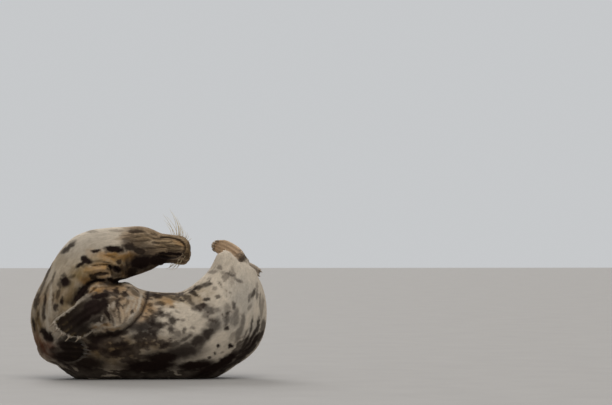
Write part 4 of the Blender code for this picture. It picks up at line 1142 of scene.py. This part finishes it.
def bare_share(points):
    """How bare the skin is at each point: lips, nose pad, nostrils and the rims of the lids."""
    local = head_places(points)
    bare = bell(mouth_distance(local)[0], BARE_LIPS) * chin_share(local)
    nose = np.linalg.norm((local - mirrored(NOSTRIL, 0)) / NOSE_PAD, axis=1)
    bare = np.maximum(bare, NOSE_BARE * np.exp(-(nose**4)))
    for side in SIDES:
        spot = np.linalg.norm((local - mirrored(NOSTRIL, side)) / BARE_NOSTRIL, axis=1)
        centre, out, ahead, up = eye_axes(side)
        from_eye = points - centre
        close = (from_eye @ out > 0) & (np.linalg.norm(from_eye, axis=1) < 2 * EYE_RADIUS)
        rims = smooth_step(*BARE_LIDS, opening_share(from_eye @ ahead, from_eye @ up)) * close
        bare = np.maximum(bare, np.maximum(bell(spot, 1), rims))
    return bare


def shape_skin(skin, tables, settings):
    """Sets the skin under the coat, and gives it its folds, face, lids and grain."""
    points, normals = points_of(skin), normals_of(skin)
    length, angle, _ = body_place(points)
    owner, along, _, _ = blade_place(points, tables)
    face = smooth_step(*SKIN_FACE, length)
    limb = (owner >= 0) * smooth_step(*SKIN_LIMB, along)
    inset = settings.coat_depth * (1 - THIN_FACE * face) * (1 - THIN_LIMB * limb)
    points = points - normals * inset[:, None]
    points = creased(points, normals, length, angle)
    points = lidded(faced(points, normals))
    points = sheathed(points, normals)
    grain = GRAIN * (1 - 0.7 * face) * np.random.default_rng(GRAIN_SEED).normal(0, 1, len(points))
    points = points + normals * grain[:, None]
    points[:, 2] = np.maximum(points[:, 2], FLOOR_GAP)
    set_points(skin, points)
    thinned(skin, length, settings.skin_triangles)


def make_skin(settings, colours):
    """The whole skin over flesh, flippers and tail."""
    skin, tables = rough_skin(settings)
    shape_skin(skin, tables, settings)
    points = points_of(skin)
    length, angle, way = body_place(points)
    place = blade_place(points, tables)
    bare = bare_share(points)
    moist = BARE_WEIGHT * bare[:, None]
    colour = coat_colours(points, length, angle, place, colours)
    colour = colour * (1 - moist) + np.array(colours.dark) * BARE_SHADE * moist
    set_attribute(skin, "fur", "FLOAT_COLOR", rgba(colour))
    set_attribute(skin, "bare", "FLOAT", bare)
    lie = np.where(place[0][:, None] >= 0, place[3], way)
    return skin, dict(points=points, length=length, lie=lie, place=place, bare=bare)


# ---- Coat
# Each coat piece: name, its stretch of the body in shares of its length, and the spacing of its tufts
COAT_PIECES = (
    ("coat_head", 0.00, 0.165, 0.0021),
    ("coat_neck", 0.165, 0.36, 0.0031),
    ("coat_chest", 0.36, 0.53, 0.0034),
    ("coat_belly", 0.53, 0.68, 0.0034),
    ("coat_loin", 0.68, 0.84, 0.0034),
    ("coat_hips", 0.84, 1.01, 0.0031),
)
FLIPPER_SPACING = 0.0023
COAT_FACE = (0.34, 0.06)  # metres from the nose between which the tufts grow small
# Sizes of a tuft: how much smaller each is on the face and on the flippers, and its least and most share
TUFT_SIZES = (("tuft_length", 0.58, 0.45, 0.75, 1.2), ("tuft_width", 0.45, 0.30, 0.8, 1.2),
              ("coat_depth", 0.62, 0.50, 0.25, 0.95))
COAT_SEED = 11
ROOT_DEPTH = 0.0012  # how deep a tuft's root is set in the skin
RIDGE_PLACE = 0.30  # where a tuft is thickest, in shares of its length
TUFT_THICKNESS = 0.30  # in shares of its width
TUFT_SWING, TUFT_TONE = 0.16, 0.10  # how much tufts differ in their way, and in how light they are
TUFT_FLOOR, ROOT_FLOOR = 0.0003, 0.003  # least heights of a tuft's corners and of its root
BARE_LIMIT = 0.30  # no tufts where the skin is barer than this
# A tuft's corners: left and right of the root, top of the ridge, and tip
TUFT_FACES = ((0, 2, 1), (0, 1, 3), (1, 2, 3), (2, 0, 3))
TUFT_SHADES, TUFT_LIMITS = (0.90, 0.90, 0.96, 1.08), (0.003, 0.95)
NORMAL_SIDEWAYS, NORMAL_ONWARDS = (-0.35, 0.35, 0, 0), (0, 0, 0, 0.15)  # how the normals at them lean
PATCH = 0.003  # side of a tuft's patch on the map
PATCH_EDGE = 0.002  # the map's edge, which stays free
CELL_EDGE = 0.06  # edge of a cell of the flippers' map, in shares of the cell
CELL_COLUMNS, CELL_ROWS = 4, 3


def skin_samples(skin, info, chosen, spacing, generator):
    """Random roots over the chosen triangles of the skin, evenly by area."""
    mesh = skin.data
    mesh.calc_loop_triangles()
    corners = np.empty(len(mesh.loop_triangles) * 3, np.int32)
    mesh.loop_triangles.foreach_get("vertices", corners)
    corners = corners.reshape(-1, 3)
    corners = corners[chosen[corners[:, 0]]]
    points = info["points"]
    a, b, c = (points[corners[:, i]] for i in range(3))
    areas = np.linalg.norm(np.cross(b - a, c - a), axis=1) / 2
    count = int(areas.sum() / spacing**2)
    picked = generator.choice(len(corners), count, p=areas / areas.sum())
    r1, r2 = np.sqrt(generator.random(count)), generator.random(count)
    return corners[picked], np.stack((1 - r1, r1 * (1 - r2), r1 * r2), axis=1)


def spread(values, corners, weights):
    """Values of the skin's vertices at places inside its triangles."""
    if values.ndim == 1:
        return np.sum(values[corners] * weights, axis=1)
    return np.sum(values[corners] * weights[:, :, None], axis=1)


def tuft_sizes(length, on_limb, settings, generator):
    """Lengths, widths and lifts of the tufts, smaller on the face and the flippers."""
    face = smooth_step(*COAT_FACE, length)
    sizes = []
    for key, at_face, at_limb, least, most in TUFT_SIZES:
        share = (1 - at_face * face) * (1 - at_limb * on_limb)
        sizes.append(getattr(settings, key) * share * generator.uniform(least, most, len(length)))
    return sizes


def tuft_corners(roots, normals, lies, side, lengths, widths, lifts):
    """Left, right, top and tip of each tuft."""
    base = roots - normals * ROOT_DEPTH
    left = base - side * widths[:, None] / 2
    right = base + side * widths[:, None] / 2
    rise = RIDGE_PLACE * (lifts + ROOT_DEPTH) + TUFT_THICKNESS * widths
    top = base + normals * rise[:, None] + lies * (lengths * RIDGE_PLACE)[:, None]
    tip = roots + lies * lengths[:, None] + normals * lifts[:, None]
    corners = np.stack((left, right, top, tip), axis=1).reshape(-1, 3)
    corners[:, 2] = np.maximum(corners[:, 2], TUFT_FLOOR)
    return corners


def tuft_mesh(name, corners, patches):
    """A mesh of tufts, with a map on which each tuft has a small patch of its own."""
    count = len(patches)
    loops = (np.arange(count)[:, None, None] * 4 + np.array(TUFT_FACES)).reshape(-1)
    mesh = bpy.data.meshes.new(name)
    mesh.vertices.add(len(corners))
    mesh.vertices.foreach_set("co", (corners + SHIFT).astype(np.float32).ravel())
    mesh.loops.add(len(loops))
    mesh.loops.foreach_set("vertex_index", loops.astype(np.int32))
    mesh.polygons.add(count * len(TUFT_FACES))
    mesh.polygons.foreach_set("loop_start", np.arange(0, len(loops), 3, dtype=np.int32))
    mesh.update()
    corner_patch = np.array(((0, 0), (1, 0), (0, 1), (1, 1))) * PATCH - PATCH / 2
    places = (patches[:, None, :] + corner_patch).reshape(-1, 2)[loops]
    layer = mesh.uv_layers.new(name="OFBake")
    layer.data.foreach_set("uv", np.clip(places, 0, 1).astype(np.float32).ravel())
    mesh.polygons.foreach_set("use_smooth", np.ones(len(mesh.polygons), bool))
    return mesh


def make_tufts(name, roots, normals, lies, sizes, colour, patches, generator):
    """One piece of thin pointed tufts, each a three-sided blade that lies along the coat."""
    count = len(roots)
    lies = unit(lies - normals * np.sum(lies * normals, axis=1)[:, None])
    swing = generator.normal(0, TUFT_SWING, count)[:, None]
    lies = unit(lies + np.cross(normals, lies) * swing)
    side = np.cross(normals, lies)
    corners = tuft_corners(roots, normals, lies, side, *sizes)
    obj = linked(name, tuft_mesh(name, corners, patches))
    tone = (1 + generator.normal(0, TUFT_TONE, count))[:, None] * np.array(TUFT_SHADES)
    values = colour[:, None, :] * tone[:, :, None]
    set_attribute(obj, "fur", "FLOAT_COLOR", rgba(np.clip(values.reshape(-1, 3), *TUFT_LIMITS)))
    sideways = side[:, None, :] * np.array(NORMAL_SIDEWAYS)[:, None]
    onwards = lies[:, None, :] * np.array(NORMAL_ONWARDS)[:, None]
    outward = unit(normals[:, None, :] + sideways + onwards)
    obj.data.normals_split_custom_set_from_vertices(outward.reshape(-1, 3).astype(np.float32))
    return obj


def trunk_patches(length, angle, low, high):
    """Where the tufts of a stretch lie on the unrolled skin: along it and round it."""
    return np.stack(((length / BODY_LENGTH - low) / (high - low), (angle + pi) / (2 * pi)), axis=1)


def flipper_patches(place, out, generator):
    """Where the tufts of the flippers lie on a map with a cell for each face of each blade."""
    owner, along, across, _ = place
    cell = owner * 2 + (out[:, 1] > 0)
    inner = 1 - 2 * CELL_EDGE
    columns = (cell % CELL_COLUMNS + CELL_EDGE + along * inner) / CELL_COLUMNS
    rows = (cell // CELL_COLUMNS + CELL_EDGE + (across + 1) * inner / 2) / CELL_ROWS
    patches = np.stack((columns, rows), axis=1)
    return patches + generator.uniform(-2 * PATCH, 2 * PATCH, patches.shape)


def make_coat(skin, info, settings, colours):
    """The coat over the whole skin, one piece for each stretch of the body and one for the flippers."""
    generator = np.random.default_rng(COAT_SEED)
    owner = info["place"][0]
    share = np.clip(info["length"] / BODY_LENGTH, 0, 1)
    normals = normals_of(skin)
    pieces = []
    for name, low, high, spacing in (*COAT_PIECES, ("coat_flippers", None, None, FLIPPER_SPACING)):
        on_trunk = low is not None
        chosen = (share >= low) & (share < high) & (owner < 0) if on_trunk else owner >= 0
        spacing *= 1
        corners, weights = skin_samples(skin, info, chosen, spacing, generator)
        kept = spread(info["bare"], corners, weights) < BARE_LIMIT
        kept &= spread(info["points"], corners, weights)[:, 2] > ROOT_FLOOR
        corners, weights = corners[kept], weights[kept]
        roots, lies = (spread(info[key], corners, weights) for key in ("points", "lie"))
        out = unit(spread(normals, corners, weights))
        length, angle, _ = body_place(roots)
        place = tuple(value[corners[:, 0]] for value in info["place"])
        sizes = tuft_sizes(length, place[0] >= 0, settings, generator)
        middles = roots + unit(lies) * (sizes[0] / 2)[:, None]
        colour = coat_colours(middles, *body_place(middles)[:2], place, colours)
        if on_trunk:
            patches = trunk_patches(length, angle, low, high)
        else:
            patches = flipper_patches(place, out, generator)
        patches = np.clip(patches, PATCH_EDGE, 1 - PATCH_EDGE)
        pieces.append(make_tufts(name, roots, out, lies, sizes, colour, patches, generator))
    return pieces


# ---- Materials


class Look:
    """A new procedural material: its shader, and short ways to make the nodes that feed it."""

    def __init__(self, name, values):
        self.material = bpy.data.materials.new(name)
        self.material.use_nodes = True
        self.nodes, self.links = self.material.node_tree.nodes, self.material.node_tree.links
        self.shader = self.nodes["Principled BSDF"]
        self.feed(self.shader, values)
        self.where = self.add("TexCoord", "Object")  # on which all noise lies

    def feed(self, node, values):
        """Sets a node's inputs, or links them to the outputs of other nodes."""
        for key, value in values.items():
            if isinstance(value, bpy.types.NodeSocket):
                self.links.new(value, node.inputs[key])
            else:
                node.inputs[key].default_value = value

    def add(self, kind, output, values=None, **settings):
        """A new node, of which one output is used."""
        node = self.nodes.new("ShaderNode" + kind)
        for key, value in settings.items():
            setattr(node, key, value)
        self.feed(node, values or {})
        return node.outputs[output]

    def attribute(self, name, output="Fac"):
        return self.add("Attribute", output, attribute_name=name)

    def noise(self, scale, detail):
        values = {"Vector": self.where, "Scale": scale, "Detail": detail, "Roughness": 0.6}
        return self.add("TexNoise", "Fac", values)

    def ranged(self, value, low, high, to_low, to_high):
        values = {"Value": value, "From Min": low, "From Max": high, "To Min": to_low, "To Max": to_high}
        return self.add("MapRange", "Result", values)

    def plain(self, colour):
        output = self.add("RGB", "Color")
        output.default_value = (*colour, 1)
        return output

    def ramp(self, value, stops):
        """Colours that follow a value from stop to stop."""
        output = self.add("ValToRGB", "Color", {"Fac": value})
        elements = output.node.color_ramp.elements
        while len(elements) < len(stops):
            elements.new(1.0)
        for i, (place, colour) in enumerate(stops):
            elements[i].position = place
            elements[i].color = (*colour, 1)
        return output

    def colour(self, colour, grain, *span):
        """Sets the colour, made darker and lighter by a noise."""
        values = {"Vector": colour, "Scale": self.ranged(grain, *span)}
        scaled = self.add("VectorMath", "Vector", values, operation="SCALE")
        self.feed(self.shader, {"Base Color": scaled})

    def roughness(self, value):
        self.feed(self.shader, {"Roughness": value})

    def bump(self, height, distance, strength):
        values = {"Height": height, "Distance": distance, "Strength": strength}
        self.feed(self.shader, {"Normal": self.add("Bump", "Normal", values)})


def skin_material():
    """Short flat fur over skin: the markings, fine hair grain and a moister nose, lips and lid rims."""
    look = Look("seal_skin", {"Specular IOR Level": 0.05})
    grain = look.noise(420, 3)
    look.colour(look.attribute("fur", "Color"), grain, 0.25, 0.75, 0.78, 1.18)
    dry = look.ranged(look.noise(55, 4), 0.3, 0.7, 0.62, 0.80)
    look.roughness(look.add("Mix", "Result", {"Factor": look.attribute("bare"), "A": dry, "B": 0.30}))
    look.bump(grain, 0.0012, 0.6)
    return look.material


def coat_material():
    """Hair: the markings of the skin and a fine change from tuft to tuft."""
    look = Look("seal_coat", {"Specular IOR Level": 0.04})
    look.colour(look.attribute("fur", "Color"), look.noise(260, 3), 0.25, 0.75, 0.82, 1.16)
    look.roughness(look.ranged(look.noise(90, 2), 0.3, 0.7, 0.58, 0.78))
    return look.material


def eye_material():
    """Pupil, brown iris, its dark edge and the white, by how far off the eye's axis, under a wet front."""
    look = Look("seal_eye", {"Roughness": 0.12, "Specular IOR Level": 0.20, "Coat Weight": 0.40,
                             "Coat Roughness": 0.03})
    rings = ((0.30, (0.002, 0.002, 0.002)), (0.36, (0.028, 0.014, 0.007)), (0.72, (0.012, 0.007, 0.005)),
             (0.86, (0.10, 0.075, 0.06)))
    look.colour(look.ramp(look.attribute("iris"), rings), look.noise(900, 3), 0.3, 0.7, 0.75, 1.25)
    return look.material


def horn_material(name, root, tip, roughness):
    """Horn or whisker: its colour goes from root to tip, with fine lengthwise change."""
    look = Look(name, {"Roughness": roughness})
    shade = look.ramp(look.attribute("along"), ((0, root), (1, tip)))
    look.colour(shade, look.noise(380, 3), 0.3, 0.7, 0.8, 1.15)
    look.bump(look.noise(700, 2), 0.0004, 0.5)
    return look.material


def lid_material():
    """Dark bare skin, a little moist."""
    look = Look("seal_lid", {"Roughness": 0.35, "Specular IOR Level": 0.20})
    look.colour(look.plain((0.014, 0.010, 0.008)), look.noise(500, 3), 0.3, 0.7, 0.7, 1.2)
    look.bump(look.noise(1400, 2), 0.0002, 0.6)
    return look.material


def floor_material(colour):
    look = Look("plain_floor", {"Roughness": 0.85})
    look.colour(look.plain(colour), look.noise(3.5, 4), 0.3, 0.7, 0.97, 1.03)
    look.bump(look.noise(60, 3), 0.001, 0.3)
    return look.material


# ---- Eyes, claws and whiskers
BALL_GAP = 0.0003  # the ball is smaller than the eye's solid by this
CORNEA_RISE, CORNEA_EDGE = 0.05, (0.62, 0.30)  # share of the radius, and the angles over which it rises
RING_RADIUS = 0.2  # of the torus from which a lid's margin is made
MARGIN_HEIGHT, MARGIN_FLAT, MARGIN_SWING = 0.0006, 0.7, 0.25
CLAW_ROUNDING = 0.0005  # what the claws lose by being rounded


def make_eye(name, side):
    """An eyeball with its clear front slightly raised."""
    centre, way, _, _ = eye_axes(side)
    obj = primitive("uv_sphere", name, segments=48, ring_count=32, radius=EYE_RADIUS - BALL_GAP)
    points = points_of(obj)
    off_axis = np.arctan2(np.hypot(points[:, 0], points[:, 1]), points[:, 2])
    points *= (1 + CORNEA_RISE * smooth_step(*CORNEA_EDGE, off_axis))[:, None]
    turn = np.array(Vector((0, 0, 1)).rotation_difference(Vector(way)).to_matrix())
    set_points(obj, points @ turn.T + centre + SHIFT)
    set_attribute(obj, "iris", "FLOAT", np.clip(off_axis, 0, 1))
    return obj


def make_lid(name, side):
    """The bare margin of the lids: a soft ring on the ball along their opening."""
    centre, way, ahead, up = eye_axes(side)
    obj = primitive("torus", name, major_segments=96, minor_segments=14, major_radius=1,
                    minor_radius=RING_RADIUS)
    points = points_of(obj)
    turn = np.arctan2(points[:, 1], points[:, 0])
    out = (np.hypot(points[:, 0], points[:, 1]) - 1) / RING_RADIUS
    rise = points[:, 2] / RING_RADIUS
    half_length, half_height = LID_OPENING
    thick = LID_MARGIN * (1 + MARGIN_SWING * np.sin(turn))
    a = (half_length + thick * out) * np.cos(turn)
    b = (half_height + thick * out) * np.sin(turn) - LID_SLANT * a
    ball = np.sqrt(np.maximum(EYE_RADIUS**2 - a**2 - b**2, 0))
    height = ball + MARGIN_HEIGHT + MARGIN_FLAT * thick * rise
    set_points(obj, centre + np.outer(a, ahead) + np.outer(b, up) + np.outer(height, way) + SHIFT)
    return obj


def make_claws(limb):
    """The five claws of one flipper, from their solids, rounded."""
    nodes = [f"{limb}_claw_{number}" for number in range(1, 6)]
    obj = copy_of_nodes(nodes, f"{limb}_claws")
    applied(obj, "SUBSURF", levels=2, render_levels=2)
    applied(obj, "DISPLACE", strength=CLAW_ROUNDING, mid_level=0.0)
    points = points_of(obj) - SHIFT
    roots = {node: (root, tip) for node, root, tip in claw_roots()}
    along, away = np.zeros(len(points)), np.full(len(points), FAR)
    for node in nodes:
        root, tip = roots[node]
        reach = tip - root
        t = np.clip((points - root) @ reach / (reach @ reach), 0, 1)
        distance = np.linalg.norm(points - root - t[:, None] * reach, axis=1)
        nearer = distance < away
        along[nearer], away[nearer] = t[nearer], distance[nearer]
    set_attribute(obj, "along", "FLOAT", along)
    return obj, nodes


# Whiskers of one side: root on the head's axes, tip on the head's axes
WHISKER_ROWS = (
    (0.120, 0.071, 0.002, 0.071, 0.168, 0.012), (0.127, 0.071, 0.002, 0.078, 0.144, -0.010),
    (0.134, 0.069, 0.002, 0.103, 0.193, 0.020), (0.139, 0.066, 0.002, 0.089, 0.164, -0.020),
    (0.143, 0.062, 0.014, 0.125, 0.156, 0.030), (0.148, 0.064, 0.002, 0.115, 0.184, -0.012),
    (0.153, 0.062, 0.002, 0.136, 0.156, 0.010), (0.155, 0.061, 0.002, 0.129, 0.149, -0.030),
    (0.160, 0.056, 0.014, 0.148, 0.124, 0.034), (0.165, 0.056, 0.002, 0.160, 0.115, 0.000),
    (0.169, 0.053, 0.002, 0.155, 0.097, 0.026), (0.174, 0.050, 0.002, 0.174, 0.097, -0.016),
    (0.179, 0.047, 0.002, 0.186, 0.079, 0.020), (0.183, 0.042, 0.002, 0.195, 0.072, 0.000),
    (0.110, 0.073, 0.002, 0.089, 0.127, -0.020), (0.188, 0.037, 0.002, 0.207, 0.052, 0.012),
    (0.150, 0.049, 0.014, 0.141, 0.100, 0.050), (0.169, 0.037, 0.014, 0.181, 0.056, 0.044),
)
FOLDED_BACK, FOLDED_DOWN = (0.75, 0.22, 0.75), (0, 0, -0.35)  # the left whiskers lie back from the viewer
WHISKER_RADIUS, WHISKER_TAPER, TAPER_POWER = 0.0015, 0.78, 1.3
WHISKER_RINGS, WHISKER_SIDES = 12, 6
WHISKER_ROOT = 0.002  # how deep a whisker starts in the pad
WHISKER_BOW, WHISKER_SAG = 0.10, (-0.03, 0.05)  # shares of its length
WHISKER_SEED = 5


def whisker_ends(row, side, tree):
    """Root in the pad and tip of a whisker."""
    root, tip = np.array(row[:3]), np.array(row[3:])
    if side == 1:
        tip = root + (tip - root) * FOLDED_BACK + np.array(FOLDED_DOWN) * (tip[1] - root[1])
    root, tip = head_point(root, side), head_point(tip, side)
    way = unit(root - tip)
    hit = tree.ray_cast(Vector(tip), Vector(way))[0]
    return (np.array(hit) if hit else root) + way * WHISKER_ROOT, tip


def tube_faces(start):
    """The faces of one whisker whose first point has this number."""
    faces = []
    for ring in range(start, start + (WHISKER_RINGS - 1) * WHISKER_SIDES, WHISKER_SIDES):
        for i in range(WHISKER_SIDES):
            a, b = ring + i, ring + (i + 1) % WHISKER_SIDES
            faces.append((a, b, b + WHISKER_SIDES, a + WHISKER_SIDES))
    last = start + (WHISKER_RINGS - 1) * WHISKER_SIDES
    faces.append(tuple(range(start, start + WHISKER_SIDES))[::-1])
    faces.append(tuple(range(last, last + WHISKER_SIDES)))
    return faces


def make_whiskers(name, side, tree):
    """The whiskers of one side: tapered bent tubes rooted in the pad."""
    generator = np.random.default_rng(WHISKER_SEED + side)
    points, faces, along = [], [], []
    for row in WHISKER_ROWS:
        root, tip = whisker_ends(row, side, tree)
        reach = np.linalg.norm(tip - root)
        bow = (-FORWARD * WHISKER_BOW + CHIN * generator.uniform(*WHISKER_SAG)) * reach
        across = unit(np.cross(tip - root, FORWARD))
        other = unit(np.cross(tip - root, across))
        faces += tube_faces(len(points))
        for step in np.linspace(0, 1, WHISKER_RINGS):
            centre = root * (1 - step) + tip * step - bow * (1 - (2 * step - 1) ** 2)
            radius = WHISKER_RADIUS * (1 - WHISKER_TAPER * step**TAPER_POWER)
            for i in range(WHISKER_SIDES):
                turn = 2 * pi * i / WHISKER_SIDES
                points.append(centre + (across * cos(turn) + other * sin(turn)) * radius)
                along.append(step)
    mesh = bpy.data.meshes.new(name)
    mesh.from_pydata([tuple(point + SHIFT) for point in points], [], faces)
    obj = linked(name, mesh)
    merged(obj, 1e-7)
    set_attribute(obj, "along", "FLOAT", np.array(along))
    return obj


# ---- Add-on
BUILT = {}  # what one operator leaves for the next: the skin and where its points lie
# Colours of root and tip, and roughness
CLAW_HORN = ((0.165, 0.122, 0.082), (0.36, 0.28, 0.19), 0.38)
# The right fore flipper's claws: the same horn darker, as painted shade, for that flipper lies in the shade
# low under the body
SHADE_DARKENED_HORN = ((0.020, 0.013, 0.009), (0.085, 0.062, 0.042), 0.45)
WHISKER_HORN = ((0.46, 0.36, 0.21), (0.72, 0.62, 0.42), 0.42)
# Name, way towards it, strength, its width in degrees and its colour
LIGHTS = (
    ("overhead", (0.10, -0.42, 1.0), 1.30, 45, (1.0, 0.985, 0.96)),
    ("behind", (-0.3, 1.0, 0.8), 1.3, 30, (0.98, 0.98, 1.0)),
)
BACKDROP_COLOUR, BACKDROP_STRENGTH = (0.86, 0.88, 0.90), 0.66
CAMERA_TURN = (90.73, 0, -3.56)  # degrees
SENSOR_WIDTH, CLIP_END = 36, 200  # millimetres, metres


class SealBodySettings(bpy.types.PropertyGroup):
    """Sizes of the skin and coat."""

    coat_depth: FloatProperty(name="Coat depth", description="How far the skin lies inside the outline",
                              default=0.003, min=0.001, max=0.01, unit="LENGTH")
    fine_cell: FloatProperty(name="Fine cell", description="Cell of the skin's mesh before it is thinned",
                             default=0.0027, min=0.002, max=0.01, unit="LENGTH")
    skin_triangles: IntProperty(name="Skin triangles", description="Most triangles that the skin keeps",
                                default=190000, min=20000, max=199000)
    tuft_length: FloatProperty(name="Tuft length", description="Length of a tuft on the trunk",
                               default=0.012, min=0.004, max=0.04, unit="LENGTH")
    tuft_width: FloatProperty(name="Tuft width", description="Width of a tuft at its root",
                              default=0.0021, min=0.0005, max=0.006, unit="LENGTH")


def colour_property(name, description, default):
    return FloatVectorProperty(name=name, description=description, default=default, subtype="COLOR",
                               min=0.0, max=1.0, size=3)


class SealColours(bpy.types.PropertyGroup):
    """Colours of the coat."""

    cream: colour_property("Cream", "Pale ground of throat, belly and rear", (0.60, 0.510, 0.400))
    tan: colour_property("Tan", "Warmer ground of the trunk and head", (0.36, 0.250, 0.150))
    ash: colour_property("Ash", "Greyer ground of the back", (0.30, 0.275, 0.240))
    # Olive stands partly for painted shade, on the neck and low on the body
    olive: colour_property("Olive", "Shaded ground of breast and lower belly", (0.165, 0.112, 0.056))
    khaki: colour_property("Khaki", "Greener ground of breast, chin and shoulder", (0.25, 0.175, 0.082))
    ochre: colour_property("Ochre", "Stained fur in the folds of neck and armpit", (0.40, 0.215, 0.070))
    rust: colour_property("Rust", "Reddish fur by the right elbow", (0.15, 0.056, 0.028))
    brown: colour_property("Brown", "Soft mottling", (0.110, 0.074, 0.053))
    # Dark also paints shade: in the deep folds and creases, under the head and low by the floor
    dark: colour_property("Dark", "Dark blotches", (0.016, 0.009, 0.007))
    flipper: colour_property("Flipper", "Fore flippers", (0.013, 0.008, 0.006))
    sole: colour_property("Sole", "Soles of the hind flippers", (0.60, 0.42, 0.27))


class SealStageSettings(bpy.types.PropertyGroup):
    """Floor, light and camera."""

    floor_colour: colour_property("Floor colour", "Colour of the plain floor", (0.30, 0.282, 0.262))
    floor_size: FloatProperty(name="Floor size", description="Side of the floor", default=80.0, unit="LENGTH")
    distance: FloatProperty(name="Camera distance", description="From the camera to the seal",
                            default=12.0, min=2.0, unit="LENGTH")
    height: FloatProperty(name="Camera height", description="Height of the camera over the floor",
                          default=0.672, min=0.05, unit="LENGTH")
    lens: FloatProperty(name="Lens", description="Focal length in millimetres", default=150.0, min=10.0)


class SEAL_OT_skin(bpy.types.Operator):
    """Make the skin over flesh, flippers and tail"""

    bl_idname = "seal.skin"
    bl_label = "Skin"

    def execute(self, context):
        skin, info = make_skin(context.scene.seal_body, context.scene.seal_colours)
        BUILT.update(skin=skin, info=info)
        BUILT["tree"] = BVHTree.FromObject(skin, context.evaluated_depsgraph_get())
        return {"FINISHED"}


class SEAL_OT_coat(bpy.types.Operator):
    """Make the tufts of the coat and set the skin in its place"""

    bl_idname = "seal.coat"
    bl_label = "Coat"

    def execute(self, context):
        skin = BUILT["skin"]
        material = coat_material()
        for piece in make_coat(skin, BUILT["info"], context.scene.seal_body, context.scene.seal_colours):
            piece.data.materials.append(material)
            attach(piece, "root")
        set_points(skin, points_of(skin) + SHIFT)
        finished(skin, skin_material(), FLESH_NODES)
        return {"FINISHED"}


class SEAL_OT_eyes(bpy.types.Operator):
    """Make both eyes"""

    bl_idname = "seal.eyes"
    bl_label = "Eyes"

    def execute(self, context):
        material = eye_material()
        for name, side, node in (("eyeball_left", 1, "left_eye"), ("eyeball_right", -1, "right_eye")):
            finished(make_eye(name, side), material, (node,))
        bare = lid_material()
        for name, side in (("lid_margin_left", 1), ("lid_margin_right", -1)):
            finished(make_lid(name, side), bare)
        return {"FINISHED"}


class SEAL_OT_claws(bpy.types.Operator):
    """Make the claws of the four flippers"""

    bl_idname = "seal.claws"
    bl_label = "Claws"

    def execute(self, context):
        pale = horn_material("seal_claw", *CLAW_HORN)
        shade_darkened = horn_material("seal_claw_dark", *SHADE_DARKENED_HORN)
        for limb in BLADE_NAMES[:-1]:
            obj, nodes = make_claws(limb)
            # The right fore flipper's claws take the darker horn, as painted shade
            finished(obj, shade_darkened if limb == "right_fore" else pale, nodes)
        return {"FINISHED"}


class SEAL_OT_whiskers(bpy.types.Operator):
    """Make the whiskers of both sides"""

    bl_idname = "seal.whiskers"
    bl_label = "Whiskers"

    def execute(self, context):
        material = horn_material("seal_whisker", *WHISKER_HORN)
        for word, side in (("left", 1), ("right", -1)):
            obj = make_whiskers(f"{word}_whiskers", side, BUILT["tree"])
            finished(obj, material, [f"{word}_whisker_{number}" for number in range(1, 7)])
        return {"FINISHED"}


class SEAL_OT_stage(bpy.types.Operator):
    """Set up the floor, the lights and the camera"""

    bl_idname = "seal.stage"
    bl_label = "Stage"

    def execute(self, context):
        stage = context.scene.seal_stage
        floor = primitive("plane", "floor", size=stage.floor_size, location=(0, 0, 0))
        floor.data.materials.append(floor_material(stage.floor_colour))
        make_lights()
        world = bpy.data.worlds.new("studio")
        world.use_nodes = True
        backdrop = world.node_tree.nodes["Background"]
        backdrop.inputs["Color"].default_value = (*BACKDROP_COLOUR, 1)
        backdrop.inputs["Strength"].default_value = BACKDROP_STRENGTH
        context.scene.world = world
        context.scene.view_settings.view_transform = "Standard"
        bpy.ops.object.camera_add(location=Vector(SHIFT) + Vector((0, -stage.distance, stage.height)),
                                  rotation=[radians(turn) for turn in CAMERA_TURN])
        camera = context.object
        camera.data.lens = stage.lens
        camera.data.sensor_width = SENSOR_WIDTH
        camera.data.clip_end = CLIP_END
        context.scene.camera = camera
        return {"FINISHED"}


def make_lights():
    """A broad soft light from above the seal's shoulder and a weaker one from behind on the right."""
    for name, way, strength, spread_angle, colour in LIGHTS:
        bpy.ops.object.light_add(type="SUN", location=Vector(way) * 4)
        light = bpy.context.object
        light.name = name
        light.data.energy = strength
        light.data.angle = radians(spread_angle)
        light.data.color = colour
        light.rotation_euler = Vector(way).to_track_quat("Z", "Y").to_euler()


class SEAL_PT_panel(bpy.types.Panel):
    """The seal's pieces and sizes"""

    bl_idname = "SEAL_PT_panel"
    bl_label = "Grey Seal"
    bl_space_type = "VIEW_3D"
    bl_region_type = "UI"
    bl_category = "Grey Seal"

    def draw(self, context):
        layout = self.layout
        for group in ("seal_body", "seal_colours", "seal_stage"):
            settings = getattr(context.scene, group)
            column = layout.column(align=True)
            for key in settings.__annotations__:
                column.prop(settings, key)
        for step in STEPS:
            layout.operator(step.bl_idname)


STEPS = (SEAL_OT_skin, SEAL_OT_coat, SEAL_OT_eyes, SEAL_OT_claws, SEAL_OT_whiskers, SEAL_OT_stage)
CLASSES = (SealBodySettings, SealColours, SealStageSettings, *STEPS, SEAL_PT_panel)


def register():
    for cls in CLASSES:
        bpy.utils.register_class(cls)
    bpy.types.Scene.seal_body = PointerProperty(type=SealBodySettings)
    bpy.types.Scene.seal_colours = PointerProperty(type=SealColours)
    bpy.types.Scene.seal_stage = PointerProperty(type=SealStageSettings)


def unregister():
    for group in ("seal_body", "seal_colours", "seal_stage"):
        delattr(bpy.types.Scene, group)
    for cls in reversed(CLASSES):
        bpy.utils.unregister_class(cls)


def main():
    register()
    bpy.ops.seal.skin()
    bpy.ops.seal.coat()
    bpy.ops.seal.eyes()
    bpy.ops.seal.claws()
    bpy.ops.seal.whiskers()
    bpy.ops.seal.stage()
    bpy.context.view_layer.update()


if __name__ == "__main__":
    main()
